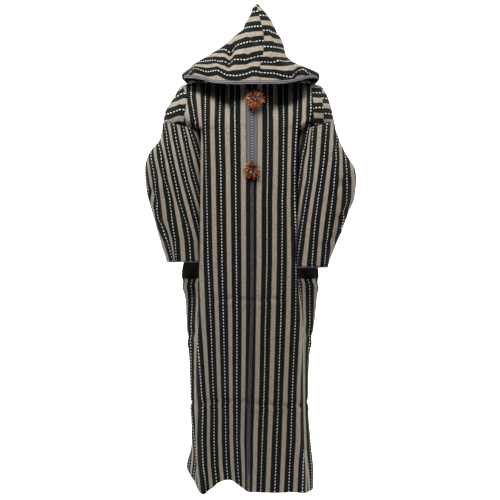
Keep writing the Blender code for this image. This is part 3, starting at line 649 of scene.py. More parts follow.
def sleeve_top(turn):
    """Height of the armhole seam: level over the outer arm, dipping to the armpit."""
    inner = min(turn % 1.0, -turn % 1.0)
    return SHOULDER_SEAM_Z + (ARMPIT_Z - SHOULDER_SEAM_Z) * ease((inner - ARMHOLE_LEVEL) / ARMHOLE_FALL)


def armhole_point(side, turn):
    return sleeve_point(side, turn, sleeve_top(turn))


def patch(top, bottom, inner, outer, across, down):
    """A point of the sheet that four edges hold: across from inner to outer, down from top to bottom."""
    held = (1 - down) * top(across) + down * bottom(across)
    held += (1 - across) * inner(down) + across * outer(down)
    corners = (1 - down) * ((1 - across) * top(0.0) + across * top(1.0))
    corners += down * ((1 - across) * bottom(0.0) + across * bottom(1.0))
    return held - corners


def neck_arc(side, end, share):
    """A quarter of the neckline: share 0 is its front or back end, 1 the side of the neck."""
    angle = math.pi / 2 * share
    y = NECK_MIDDLE_Y + (end[0] - NECK_MIDDLE_Y) * math.cos(angle)
    z = NECK_SIDE_Z + (end[1] - NECK_SIDE_Z) * math.cos(angle)
    return Vector((side * NECK_HALF_WIDTH * math.sin(angle), y, z))


def shoulder_top(side, neck_end, across):
    """The panel's top edge: round the neck, then along the shoulder seam that both panels share."""
    shoulder = shoulder_line(side)
    if across < NECK_SHARE:
        return neck_arc(side, neck_end, across / NECK_SHARE)
    return through(shoulder, (across - NECK_SHARE) / (1 - NECK_SHARE) * (len(shoulder) - 1))


def slit_half_width(z):
    return SLIT_HALF_WIDTH * ease((z - SLIT_CLOSED) / (SLIT_TOP - SLIT_CLOSED))


def between(table, key):
    """The second column of a two-column table at a key of its first, read straight."""
    for (low, start), (high, end) in zip(table, table[1:]):
        if key <= high:
            return start + (end - start) * (key - low) / (high - low)
    return table[-1][1]


def front_place(across):
    return between(FRONT_PLACES, across)


def back_place(across):
    return CENTRE_BACK + (BACK_SEAM - CENTRE_BACK) * across


def body_heights():
    return [ARMPIT_Z + (HEM_Z - ARMPIT_Z) * row / BODY_ROWS for row in range(BODY_ROWS + 1)]


def part_edges(row, first, last):
    """Draws a row's end points in along the row, so that it stops half a seam gap short."""
    if first:
        row[0] = row[0] + (row[1] - row[0]).normalized() * SEAM_GAP / 2
    if last:
        row[-1] = row[-1] + (row[-2] - row[-1]).normalized() * SEAM_GAP / 2
    return row


def panel_points(side, neck_end, place, armhole_end, seam_y, bulge):
    """Half a front or back: the yoke over the shoulder to the armhole, then straight down to the hem."""

    def top(across):
        return shoulder_top(side, neck_end, across) + Vector((0, seam_y, 0))

    def bottom(across):
        return body_point(side, place(across), ARMPIT_Z)

    def inner(down):
        return top(0.0).lerp(bottom(0.0), down) + Vector((0, bulge * math.sin(math.pi * down), 0))

    def outer(down):
        turn = armhole_end * down if armhole_end < 0.5 else 1.0 - (1.0 - armhole_end) * down
        shift = bottom(1.0) - armhole_point(side, armhole_end)
        seam = Vector((0, seam_y * (1 - down), 0))
        return armhole_point(side, turn) + seam + shift * down * down

    columns = [column / PANEL_COLUMNS for column in range(PANEL_COLUMNS + 1)]
    rows = []
    for row in range(YOKE_ROWS):
        rows.append([patch(top, bottom, inner, outer, across, row / YOKE_ROWS) for across in columns])
    for z in body_heights():
        rows.append([body_point(side, place(across), z) for across in columns])
    return np.array([part_edges(row, False, True) for row in rows])


def lengths_along(points, axis):
    """Distance run along a grid of points, from its first row or column."""
    steps = np.linalg.norm(np.diff(points, axis=axis), axis=2)
    start = [(0, 0), (0, 0)]
    start[axis] = (1, 0)
    return np.pad(np.cumsum(steps, axis=axis), start)


def lines_at(table, height):
    """Where each dashed line of a table lies at some heights; the table's first column is the height."""
    rows = sorted(table)
    heights = [row[0] for row in rows]
    return [np.interp(height, heights, [row[column] for row in rows]) for column in range(1, len(rows[0]))]


def lines_over(curves, across):
    """How high each line of a hood half runs at some places across."""
    return [np.interp(across, *zip(*curve)) for curve in curves]


def lines_before(marks, position):
    """How many lines lie before each position, with shares of a line, where marks are the lines' places."""
    count = np.zeros_like(position)
    for low, high in zip(marks, marks[1:]):
        count += np.clip((position - low) / (high - low), 0.0, 1.0)
    count += np.minimum(position - marks[0], 0.0) / STRIPE_PITCH
    count += np.maximum(position - marks[-1], 0.0) / STRIPE_PITCH
    return count


def carried_round(points, count, axis, start, rise, least, seen=False):
    """Keeps a count of lines where the cloth is seen, and runs it on over the cloth where it turns away."""
    steps = np.linalg.norm(np.diff(points, axis=axis), axis=2) / STRIPE_PITCH
    shown = np.diff(count, axis=axis) * rise
    grown = np.where(shown > least * steps, shown, np.where(shown > 0, least, 1.0) * steps)
    grown = np.where(seen, shown, grown) * rise
    pad = [(0, 0), (0, 0)]
    pad[axis] = (1, 0)
    run = np.pad(np.cumsum(grown, axis=axis), pad)
    return run - np.take(run, [start], axis) + np.take(count, [start], axis)


def panel_map(side, points, lines):
    """Metres of cloth across and down a panel, from the places of its lines, or evenly without them."""
    widest = np.maximum.accumulate(points[:, :, 0] * side, axis=1) * side
    if lines:
        count = lines_before(lines_at(lines, points[:, :, 2]), widest) - FRONT_CENTRE_LINE
    else:
        count = widest / STRIPE_PITCH + FAR_LINE
    least = LEAST_SHARE * soft((ARMPIT_Z - points[:, 1:, 2]) / ARMPIT_RELAX)
    across = carried_round(points, count, 1, 0, side, least) * STRIPE_PITCH
    return across, lengths_along(points, 0)


def block_map(side, points):
    """How far outside the shoulder block's edge each point lies, and the block's count of lines in metres."""
    out_x = np.abs(points[:, :, 0])
    height = points[:, :, 2]
    edge = BLOCK_LEFT_EDGE if side < 0 else BLOCK_RIGHT_EDGE
    lines = BLOCK_LEFT_LINES if side < 0 else BLOCK_RIGHT_LINES
    upper, lower = lines_over(lines, out_x)
    level = ((height - upper) / (upper - lower) + FAR_LINE) * STRIPE_PITCH
    outside = out_x - np.interp(height, [row[0] for row in edge], [row[1] for row in edge])
    outside = np.where(height > ARMPIT_Z + BLOCK_END, outside, OUT_OF_BLOCK)
    if side < 0:
        outside = np.minimum(outside, FORWARD_SEAM_X - BLOCK_RIGHT_EDGE[0][1] - LEFT_BLOCK_STOP)
    return outside, level


def crease_depth(creases, across, height):
    """How far the creases draw the cloth in at each point: a trough with a low ridge along one side."""
    depth = np.zeros_like(across)
    for line, width, deep in creases:
        total = sum(math.dist(a, b) for a, b in zip(line, line[1:]))
        nearest = np.full(across.shape, 1e9)
        signed = np.zeros_like(across)
        run = np.zeros_like(across)
        start = 0.0
        for (x0, z0), (x1, z1) in zip(line, line[1:]):
            length = math.dist((x0, z0), (x1, z1))
            along_x, along_z = (x1 - x0) / length, (z1 - z0) / length
            place = np.clip((across - x0) * along_x + (height - z0) * along_z, 0.0, length)
            gap_x = across - x0 - place * along_x
            gap_z = height - z0 - place * along_z
            distance = np.hypot(gap_x, gap_z)
            closer = distance < nearest
            nearest = np.where(closer, distance, nearest)
            signed = np.where(closer, np.copysign(distance, gap_x * along_z - gap_z * along_x), signed)
            run = np.where(closer, (start + place) / total, run)
            start += length
        ends = soft(run / CREASE_END_SHARE) * soft((1 - run) / CREASE_END_SHARE)
        trough = np.exp(-((nearest / width) ** 2))
        ridge = RIDGE_HEIGHT * np.exp(-(((signed - RIDGE_PLACE * width) / (RIDGE_WIDTH * width)) ** 2))
        depth += deep * (trough - ridge) * ends
    return depth


def outward_of(points, flip):
    """Unit normals of a grid of points."""
    across = np.gradient(points, axis=1)
    down = np.gradient(points, axis=0)
    normal = np.cross(across, down)
    normal /= np.linalg.norm(normal, axis=2, keepdims=True) + 1e-12
    return -normal if flip else normal


def pressed_in(points, depth, flip):
    return points - outward_of(points, flip) * depth[:, :, None]


def cloth_object(name, points, across, down, closed=False, flip=False, kept=None, block=None):
    """A mesh through a grid of points, whose map holds metres of cloth across and down."""
    rows, width = points.shape[:2]
    columns = width if closed else width - 1
    faces = []
    map_points = []
    block_points = []
    for row in range(rows - 1):
        for column in range(columns):
            if kept is not None and not kept[row, column]:
                continue
            after = (column + 1) % width
            corners = [(row, column), (row + 1, column), (row + 1, after), (row, after)]
            marks = [(row, column), (row + 1, column), (row + 1, column + 1), (row, column + 1)]
            if flip:
                corners.reverse()
                marks.reverse()
            faces.append([r * width + c for r, c in corners])
            map_points.extend((across[mark], down[mark]) for mark in marks)
            if block:
                block_points.extend((block[0][mark], block[1][mark]) for mark in marks)
    mesh = bpy.data.meshes.new(name)
    mesh.from_pydata(points.reshape(-1, 3).tolist(), [], faces)
    layer = mesh.uv_layers.new(name="cloth")
    layer.data.foreach_set("uv", np.array(map_points, np.float32).ravel())
    # The second map holds the shoulder block's edge and level; on the side pieces it holds the painted cuff
    # shadow instead
    if block:
        mesh.uv_layers.new(name="block").data.foreach_set("uv", np.array(block_points, np.float32).ravel())
    mesh.shade_smooth()
    thing = bpy.data.objects.new(name, mesh)
    bpy.context.scene.collection.objects.link(thing)
    return thing


def drop_loose_points(thing):
    """Leaves only the mesh's points that a face uses."""
    mesh = thing.data
    used = sorted({point for face in mesh.polygons for point in face.vertices})
    place = {old: new for new, old in enumerate(used)}
    points = [mesh.vertices[old].co.copy() for old in used]
    faces = [[place[point] for point in face.vertices] for face in mesh.polygons]
    marks = np.zeros(len(mesh.loops) * 2, np.float32)
    mesh.uv_layers["cloth"].data.foreach_get("uv", marks)
    fresh = bpy.data.meshes.new(mesh.name)
    fresh.from_pydata(points, [], faces)
    fresh.uv_layers.new(name="cloth").data.foreach_set("uv", marks)
    fresh.shade_smooth()
    thing.data = fresh


def thicken(thing, wall):
    solid = thing.modifiers.new("wall", "SOLIDIFY")
    solid.thickness = wall
    solid.offset = 1.0
    solid.use_even_offset = True
    solid.thickness_clamp = 0.5
    return thing


def hand_over(thing, node, material):
    """Gives a piece its material and lets it stand for a part of the frame."""
    thing.data.materials.append(material)
    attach(thing, "root")
    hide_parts(node)
    return thing


def front_cloth(side, word, wool):
    points = panel_points(side, NECK_FRONT, front_place, FRONT_ARMHOLE_TURN, -SEAM_GAP / 2, -CHEST_BULGE)
    across, down = panel_map(side, points, FRONT_LINES)
    block = block_map(side, points)
    for row in points:
        row[0, 0] += side * (SEAM_GAP / 2 + slit_half_width(row[0, 2]))
    places = np.array([front_place(column / PANEL_COLUMNS) for column in range(PANEL_COLUMNS + 1)])
    held = 1 - soft((places - FOLD_PLACE) / (FRONT_SEAM - FOLD_PLACE))
    top_held = np.ones(points.shape[0])
    top_held[:len(TOP_ROWS_HELD)] = TOP_ROWS_HELD
    depth = crease_depth(FRONT_CREASES, points[:, :, 0], points[:, :, 2]) * held * top_held[:, None]
    points = pressed_in(points, depth, side > 0)
    thing = cloth_object(f"{word}_front_cloth", points, across, down, flip=side < 0, block=block)
    return hand_over(thicken(thing, WALL), f"front_{word}", wool)


def back_cloth(wool):
    halves = []
    for side in (-1, 1):
        points = panel_points(side, NECK_BACK, back_place, BACK_ARMHOLE_TURN, SEAM_GAP / 2, BACK_BULGE)
        halves.append((points, *panel_map(side, points, None), *block_map(side, points)))
    joined = [np.hstack([left[:, :0:-1], right]) for left, right in zip(*halves)]
    points, across, down, outside, level = joined
    columns = np.abs(np.linspace(-1.0, 1.0, points.shape[1]))
    held = 1 - soft((columns - 1 + BACK_SIDE_SHARE) / BACK_SIDE_SHARE)
    top_held = np.ones(points.shape[0])
    top_held[:len(TOP_ROWS_HELD)] = TOP_ROWS_HELD
    depth = crease_depth(BACK_CREASES, points[:, :, 0], points[:, :, 2]) * held * top_held[:, None]
    points = pressed_in(points, depth, False)
    thing = cloth_object("back_cloth", points, across, down, flip=True, block=(outside, level))
    return hand_over(thicken(thing, WALL), "back", wool)


def gore_cloth(side, word, wool):
    shares = [column / GORE_COLUMNS for column in range(GORE_COLUMNS + 1)]
    places = [FRONT_SEAM + (BACK_SEAM - FRONT_SEAM) * share for share in shares]
    heights = body_heights()
    heights[0] -= GORE_GAP
    rows = [part_edges([body_point(side, place, z) for place in places], True, True) for z in heights]
    points = np.array(rows)
    across = lengths_along(points, 1) * side
    down = lengths_along(points, 0)
    held = np.sin(np.pi * np.array(shares)) ** 0.5
    depth = crease_depth(GORE_CREASES, points[:, :, 1], points[:, :, 2]) * held
    points = pressed_in(points, depth, side > 0)
    across = across + side * GORE_STRIPE_SHIFT + FAR_LINE * STRIPE_PITCH
    # Painted shadow of the cuffs: in a band below them the side piece takes the darkest level of the stripes'
    # repeat, which dark holds
    cuff_shadow_inside = (CUFF_SHADOW_HEIGHT / 2 - np.abs(points[:, :, 2] - CUFF_SHADOW_Z)) * CUFF_SHADOW_MARK
    dark = np.full_like(cuff_shadow_inside, CUFF_SHADOW_LEVEL)
    thing = cloth_object(f"{word}_gore_cloth", points, across, down, flip=side < 0, block=(cuff_shadow_inside, dark))
    return hand_over(thicken(thing, WALL), f"gore_{word}", wool)


def sleeve_cloth(side, word, wool):
    """The sleeve's tube. Its map starts at the back, so that the stripes run on over the front."""
    bottom = (SLEEVE_LEFT if side < 0 else SLEEVE_RIGHT)[-1][0]
    turns = [0.75 + column / SLEEVE_COLUMNS for column in range(SLEEVE_COLUMNS)]
    rows = []
    for row in range(SLEEVE_ROWS + 1):
        share = row / SLEEVE_ROWS
        tops = [sleeve_top(turn) - ARMHOLE_GAP for turn in turns]
        heights = [top + (bottom - top) * share for top in tops]
        rows.append([sleeve_point(side, turn, z) for turn, z in zip(turns, heights)])
    points = np.array(rows)
    round_again = np.concatenate([points, points[:, :1]], axis=1)
    lines = lines_at(SLEEVE_LEFT_LINES if side < 0 else SLEEVE_RIGHT_LINES, round_again[:, :, 2])
    count = lines_before(lines, round_again[:, :, 0]) + FAR_LINE
    across = carried_round(round_again, count, 1, SLEEVE_COLUMNS // 2, -side, LEAST_SHARE) * STRIPE_PITCH
    down = lengths_along(round_again, 0)
    front = np.sin(2 * np.pi * np.array(turns))
    creases = SLEEVE_LEFT_CREASES if side < 0 else SLEEVE_RIGHT_CREASES
    held = soft((front + SIDE_SHARE) / SIDE_EASE)
    back_held = soft((SIDE_SHARE - front) / SIDE_EASE)
    shares = np.linspace(0.0, 1.0, SLEEVE_ROWS + 1)
    ends = soft(shares / SLEEVE_TOP_HOLD) * soft((1 - shares) / SLEEVE_CUFF_HOLD)
    seen = crease_depth(creases, points[:, :, 0], points[:, :, 2])
    hidden = crease_depth(creases, points[:, :, 0], points[:, :, 2] + BACK_CREASE_SHIFT)
    depth = (seen * held + hidden * back_held) * ends[:, None]
    points = pressed_in(points, depth, side < 0)
    thing = cloth_object(f"{word}_sleeve_cloth", points, across, down, closed=True, flip=side > 0)
    return hand_over(thicken(thing, WALL), f"sleeve_{word}", wool)


def hood_edge(side, turn):
    row = dict(zip(HOOD_EDGE_COLUMNS, row_at(HOOD_EDGE, turn)))
    return row["left_z"] if side < 0 else row["right_z"]


def hood_point(side, turn, share):
    """A point of the hood: turn 0 is the front seam, 1 the nape; share 0 is the tip, 1 the lower edge."""
    z = HOOD_TOP_Z + (hood_edge(side, turn) - HOOD_TOP_Z) * share
    row = dict(zip(HOOD_TABLE_COLUMNS, row_at(HOOD, z)))
    seam = row["seam"] * (1 - turn * share)
    angle = math.pi * turn
    edge = row["left"] if side < 0 else row["right"]
    far = row["front"] if turn < 0.5 else row["back"]
    x = seam + (edge - seam) * max(math.sin(angle), 0.0) ** HOOD_SQUARENESS
    y = row["middle"] + (far - row["middle"]) * abs(math.cos(angle)) ** HOOD_SQUARENESS
    inward = Vector((seam - x, row["middle"] - y, 0.0)).normalized()
    depth = 0.0
    for values in HOOD_FOLDS_LEFT if side < 0 else HOOD_FOLDS_RIGHT:
        fold = dict(zip(HOOD_FOLD_COLUMNS, values))
        strength = ease((fold["from_z"] - z) / HOOD_FOLD_EASE)
        depth += fold["depth"] * strength * bump(turn - fold["turn"], fold["width"])
    return Vector((x, y, z)) + inward * depth


def neck_point(side, turn):
    """A point of the neckline by the hood's turn, from the front of the neck to the nape."""
    if turn < 0.5:
        return neck_arc(side, NECK_FRONT, 2 * turn)
    return neck_arc(side, NECK_BACK, 2 - 2 * turn)


def hood_return_point(side, turn, share):
    """The cloth under the hood's edge, which turns in over the shoulder to the neckline."""
    edge = hood_point(side, turn, 1.0)
    off_the_yoke = Vector((0, -NECK_LEAN * math.cos(math.pi * turn), 1)).normalized()
    neck = neck_point(side, turn) + off_the_yoke * (2 * WALL + HOOD_LIFT)
    point = edge.lerp(neck, share)
    point.z = edge.z - HOOD_DIP * min(share / HOOD_TURN_SHARE, 1.0)
    point.z += (neck.z - edge.z + HOOD_DIP) * share
    return point


def hood_cloth(side, word, wool):
    """A hood half, with the cloth under its edge that runs in to the neckline."""
    turns = [column / HOOD_COLUMNS for column in range(HOOD_COLUMNS + 1)]
    shares = [row / HOOD_ROWS for row in range(HOOD_ROWS + 1)]
    rows = [[Vector(HOOD_TIP).lerp(hood_point(side, turn, 0.0), HOOD_TIP_SHARE) for turn in turns]]
    rows += [[hood_point(side, turn, share) for turn in turns] for share in shares]
    returns = [HOOD_TURN_SHARE * (row + 1) / 3 for row in range(3)]
    flat_share = 1 - HOOD_TURN_SHARE
    flat_rows = range(1, HOOD_RETURN_ROWS + 1)
    returns += [HOOD_TURN_SHARE + flat_share * row / HOOD_RETURN_ROWS for row in flat_rows]
    rows += [[hood_return_point(side, turn, share) for turn in turns] for share in returns]
    points = np.array(rows)
    points[:, [0, -1], 0] += side * SEAM_GAP / 2
    curves = HOOD_LEFT_LINES if side < 0 else HOOD_RIGHT_LINES
    count = lines_before(lines_over(curves, points[:, :, 0]), points[:, :, 2]) + FAR_LINE
    drop = points[:-1, :, 2] - points[1:, :, 2]
    steep = drop > HOOD_STEEP_SHARE * np.linalg.norm(np.diff(points, axis=0), axis=2)
    lines = carried_round(points, count, 0, HOOD_ROWS - 8, -1, HOOD_LEAST_SHARE, steep)
    stripes = lines * STRIPE_PITCH
    around = lengths_along(points, 1)
    creases = HOOD_LEFT_CREASES if side < 0 else HOOD_RIGHT_CREASES
    ends = np.zeros(len(rows))
    fades = soft(np.array(shares) / HOOD_TIP_HOLD) * soft((1.02 - np.array(shares)) / HOOD_EDGE_HOLD)
    ends[1:HOOD_ROWS + 2] = fades
    seam_held = soft(np.array(turns) / HOOD_SEAM_HOLD) * soft((1 - np.array(turns)) / HOOD_SEAM_HOLD)
    depth = crease_depth(creases, points[:, :, 0], points[:, :, 2]) * ends[:, None] * seam_held
    points = pressed_in(points, depth, side > 0)
    kept = np.ones((len(rows) - 1, HOOD_COLUMNS), bool)
    open_front = np.array(turns[:-1]) < HOOD_RETURN_TURN
    kept[HOOD_ROWS + 1:, open_front] = False
    thing = cloth_object(f"{word}_hood_cloth", points, stripes, around, flip=side < 0, kept=kept)
    drop_loose_points(thing)
    return hand_over(thicken(thing, WALL), f"hood_{word}", wool)


class Shade:
    """A shader socket on which Python's operators build Math nodes."""

    def __init__(self, tree, socket=None):
        self.tree = tree
        self.socket = socket

    def node(self, kind, settings=None, inputs=None, output=0):
        """Any node: its settings first, then the values or links of its sockets."""
        made = self.tree.nodes.new(kind)
        for name, value in (settings or {}).items():
            if name == "stops":
                self.set_stops(made.color_ramp, value)
            else:
                setattr(made, name, value)
        for name, value in (inputs or {}).items():
            socket = made.inputs[name]
            if isinstance(value, Shade):
                self.tree.links.new(value.socket, socket)
            else:
                socket.default_value = value
        return Shade(self.tree, made.outputs[output])

    def set_stops(self, ramp, stops):
        while len(ramp.elements) < len(stops):
            ramp.elements.new(1.0)
        for element, (place, colour) in zip(ramp.elements, stops):
            element.position = place
            element.color = colour

    def math(self, operation, *values):
        return self.node("ShaderNodeMath", {"operation": operation}, dict(enumerate(values)))

    def __add__(self, other):
        return self.math("ADD", self, other)

    def __radd__(self, other):
        return self.math("ADD", other, self)

    def __sub__(self, other):
        return self.math("SUBTRACT", self, other)

    def __rsub__(self, other):
        return self.math("SUBTRACT", other, self)

    def __mul__(self, other):
        return self.math("MULTIPLY", self, other)

    def __rmul__(self, other):
        return self.math("MULTIPLY", other, self)

    def __truediv__(self, other):
        return self.math("DIVIDE", self, other)

    def step(self, low, high):
        """Nothing below low and one above high, with a soft rise between."""
        settings = {"interpolation_type": "SMOOTHSTEP"}
        return self.node("ShaderNodeMapRange", settings, {"Value": self, "From Min": low, "From Max": high})

    def mix(self, factor, first, second, blend="MIX"):
        """Two colours, mixed by a factor."""
        settings = {"data_type": "RGBA", "blend_type": blend}
        return self.node("ShaderNodeMix", settings, {0: factor, 6: first, 7: second}, output=2)

    def grey(self, value):
        return self.node("ShaderNodeCombineXYZ", None, {0: value, 1: value, 2: value})

    def cloth_map(self, name="cloth"):
        """Metres of cloth across and down, or the two values of another map."""
        place = self.node("ShaderNodeUVMap", {"uv_map": name})
        across = self.node("ShaderNodeSeparateXYZ", None, {0: place}, output=0)
        down = Shade(self.tree, across.socket.node.outputs[1])
        return across, down

    def noise(self, across, down, detail=2.0):
        """Even noise of about 0 to 1 over two lengths, each in repeats."""
        place = self.node("ShaderNodeCombineXYZ", None, {0: across, 1: down})
        inputs = {"Vector": place, "Scale": 1.0, "Detail": detail, "Roughness": 0.6}
        return self.node("ShaderNodeTexNoise", None, inputs)


def new_material(name, roughness, sheen):
    made = bpy.data.materials.new(name)
    made.use_nodes = True
    shader = made.node_tree.nodes["Principled BSDF"]
    shader.inputs["Roughness"].default_value = roughness
    shader.inputs["Sheen Weight"].default_value = sheen
    shader.inputs["Sheen Roughness"].default_value = 0.6
    shader.inputs["Specular IOR Level"].default_value = 0.05
    return made, shader, Shade(made.node_tree)


def finish_material(shade, shader, colour, height, strength, distance):
    shade.tree.links.new(colour.socket, shader.inputs["Base Color"])
    inputs = {"Height": height, "Strength": strength, "Distance": distance}
    relief = shade.node("ShaderNodeBump", None, inputs)
    shade.tree.links.new(relief.socket, shader.inputs["Normal"])


def striped_wool():
    """Dark green and beige bands, with a line of white dashes of twisted yarn along each dark one."""
    made, shader, shade = new_material("striped_wool", 0.95, 0.02)
    across, down = shade.cloth_map()
    # The second map turns the stripes level in the shoulder blocks, and lays the painted cuff shadow on the
    # side pieces as the repeat's darkest level
    outside, level = shade.cloth_map("block")
    in_block_or_cuff_shadow = shade.math("GREATER_THAN", outside, 0.0001)
    forward = shade.math("GREATER_THAN", outside, FORWARD_SEAM_X - BLOCK_RIGHT_EDGE[0][1])
    level = level + forward * (FORWARD_SEAM_SHIFT * STRIPE_PITCH / BLOCK_LINE_PITCH)
    past_centre = shade.math("GREATER_THAN", shade.math("ABSOLUTE", across), STRIPE_PITCH / 4)
    across, down = across + (level - across) * in_block_or_cuff_shadow, down + (across - down) * in_block_or_cuff_shadow
    wander = (shade.noise(across * 9.0, down * 9.0) - 0.5) * 0.0012
    repeats = (across + wander) / STRIPE_PITCH + 0.5
    signed = (shade.math("FRACT", repeats) - 0.5) * STRIPE_PITCH
    off_middle = shade.math("ABSOLUTE", signed)
    stops = (
        (0.00, srgb(12, 12, 10)),
        (0.16, srgb(9, 9, 7)),
        (0.24, srgb(25, 28, 24)),
        (0.50, srgb(29, 31, 27)),
        (0.59, srgb(12, 11, 8)),
        (0.65, srgb(30, 23, 17)),
        (0.70, srgb(140, 129, 115)),
        (0.78, srgb(170, 160, 145)),
        (1.00, srgb(160, 149, 134)),
    )
    bands = shade.node("ShaderNodeValToRGB", {"stops": stops}, {0: off_middle * (2 / STRIPE_PITCH)})
    line = 1 - off_middle.step(DASH_HALF_WIDTH - 0.0006, DASH_HALF_WIDTH + 0.0005)
    twist = shade.math("FRACT", down / DASH_PITCH + signed * DASH_SLANT)
    dash = twist.step(0.0, 0.10) * (1 - twist.step(DASH_SHARE, DASH_SHARE + 0.10))
    dashes = past_centre * line * dash
    colour = shade.mix(dashes * 0.95, bands, srgb(236, 240, 238))
    grain = shade.noise(across * 170.0, down * 230.0, 3.0)
    blotch = shade.noise(across * 60.0, down * 45.0)
    tone = 0.58 + grain.step(0.30, 0.70) * 0.56 + blotch * 0.28
    colour = shade.mix(1.0, colour, shade.grey(tone), "MULTIPLY")
    weft = shade.math("SINE", across * (2 * math.pi / THREAD_PITCH))
    weave = weft * shade.math("SINE", down * (2 * math.pi / WEFT_PITCH))
    height = weave * 0.25 + grain * 0.8 + dashes * 1.2
    finish_material(shade, shader, colour, height, 0.55, 0.0012)
    return made


def braid_yarn():
    """Flat braid: rows of slanting stitches in grey violet yarn, with dark lines between them."""
    made, shader, shade = new_material("braid_yarn", 0.88, 0.15)
    across, down = shade.cloth_map()
    rows = across / 0.0052
    row_place = shade.math("FRACT", rows)
    ridge = shade.math("SINE", row_place * math.pi).step(0.45, 0.98)
    lean = shade.math("PINGPONG", rows, 1.0) * 0.9
    stitch = shade.math("SINE", (down / 0.0034 + lean) * (2 * math.pi))
    grain = shade.noise(across * 500.0, down * 300.0)
    tone = ridge * 0.80 + stitch * 0.10 + grain * 0.30
    yarn = shade.mix(tone, srgb(16, 14, 18), srgb(150, 146, 153))
    finish_material(shade, shader, yarn, ridge * 1.0 + stitch * 0.35, 0.8, 0.0010)
    return made


def twisted_cord(name, light, dark, pitch):
    """Thin cord of two yarns that turn round each other."""
    made, shader, shade = new_material(name, 0.85, 0.10)
    across, down = shade.cloth_map()
    turn = shade.math("SINE", (down / pitch + across) * (2 * math.pi))
    colour = shade.mix(turn.step(-0.5, 0.6), dark, light)
    finish_material(shade, shader, colour, turn, 0.7, 0.0006)
    return made


def tassel_yarn():
    """Yarn strands in orange, rust, dark red, gold and cream, one colour a strand."""
    made, shader, shade = new_material("tassel_yarn", 0.85, 0.2)
    across, down = shade.cloth_map()
    stops = (
        (0.00, srgb(218, 118, 44)),
        (0.26, srgb(190, 72, 22)),
        (0.48, srgb(128, 30, 16)),
        (0.62, srgb(200, 142, 62)),
        (0.74, srgb(236, 206, 158)),
        (0.82, srgb(124, 104, 44)),
        (0.90, srgb(204, 90, 30)),
    )
    yarn = shade.node("ShaderNodeValToRGB", {"stops": stops}, {0: across})
    yarn.socket.node.color_ramp.interpolation = "CONSTANT"
    shadow = 0.03 + down.step(0.007, 0.026) * 0.92
    colour = shade.mix(1.0, yarn, shade.grey(shadow), "MULTIPLY")
    twist = shade.math("SINE", down * (2 * math.pi / 0.0022))
    finish_material(shade, shader, colour, twist, 0.6, 0.0004)
    return made


def plain_material(name, colour, roughness):
    made = bpy.data.materials.new(name)
    made.use_nodes = True
    shader = made.node_tree.nodes["Principled BSDF"]
    shader.inputs["Base Color"].default_value = colour
    shader.inputs["Roughness"].default_value = roughness
    return made


def tube_points(path, radius, sides, taper=0.0):
    """Rings of points round a path, which may thin to its end."""
    path = [Vector(point) for point in path]
    rings = []
    for index, point in enumerate(path):
        ahead = path[min(index + 1, len(path) - 1)] - path[max(index - 1, 0)]
        aside = ahead.cross(Vector((0.31, 0.22, 0.93)))
        if aside.length < 1e-9:
            aside = ahead.cross(Vector((1, 0, 0)))
        aside.normalize()
        over = ahead.cross(aside).normalized()
        here = radius * (1 - taper * index / (len(path) - 1))
        angles = [2 * math.pi * side / sides for side in range(sides)]
        rings.append([point + (aside * math.cos(a) + over * math.sin(a)) * here for a in angles])
    return rings


class Strands:
    """Many tubes in one mesh, each with its own mark across the map and metres down it."""

    def __init__(self):
        self.points = []
        self.faces = []
        self.marks = []

    def add(self, path, radius, sides, mark=None, taper=0.0, capped=True, ring=False):
        rings = tube_points(path, radius, sides, taper)
        first = len(self.points)
        run = [0.0]
        for before, after in zip(path, path[1:]):
            run.append(run[-1] + (Vector(after) - Vector(before)).length)
        for points in rings:
            self.points.extend(points)
        count = len(rings)
        for row in range(count if ring else count - 1):
            after = (row + 1) % count
            for side in range(sides):
                beside = (side + 1) % sides
                near, far = first + row * sides, first + after * sides
                self.faces.append([near + side, near + beside, far + beside, far + side])
                step = (Vector(path[after]) - Vector(path[row])).length
                start, end = run[row], run[row] + step
                left, right = (side / sides, (side + 1) / sides) if mark is None else (mark, mark)
                self.marks.extend(((left, start), (right, start), (right, end), (left, end)))
        if capped and not ring:
            last = first + (count - 1) * sides
            self.faces.append([first + side for side in range(sides)][::-1])
            self.faces.append([last + side for side in range(sides)])
            self.marks.extend([(mark or 0.0, 0.0)] * sides + [(mark or 0.0, run[-1])] * sides)

    def make(self, name, material):
        mesh = bpy.data.meshes.new(name)
        mesh.from_pydata([tuple(point) for point in self.points], [], self.faces)
        mesh.uv_layers.new(name="cloth").data.foreach_set("uv", np.array(self.marks, np.float32).ravel())
        mesh.shade_smooth()
        mesh.materials.append(material)
        thing = bpy.data.objects.new(name, mesh)
        bpy.context.scene.collection.objects.link(thing)
        return thing


class Ground:
    """The outer face of some cloth pieces, to lay trims on."""

    def __init__(self, pieces):
        bpy.context.view_layer.update()
        graph = bpy.context.evaluated_depsgraph_get()
        points = []
        faces = []
        for piece in pieces:
            mesh = piece.evaluated_get(graph).to_mesh()
            first = len(points)
            points.extend(piece.matrix_world @ vertex.co for vertex in mesh.vertices)
            faces.extend([first + corner for corner in face.vertices] for face in mesh.polygons)
        self.tree = BVHTree.FromPolygons(points, faces)

    def in_front(self, x, z, lift):
        """The point on the cloth's front face at x and z, lifted off it."""
        hit, normal, index, distance = self.tree.ray_cast(Vector((x, -1.0, z)), Vector((0, 1, 0)))
        if hit is None:
            return None
        return hit - Vector((0, lift, 0))


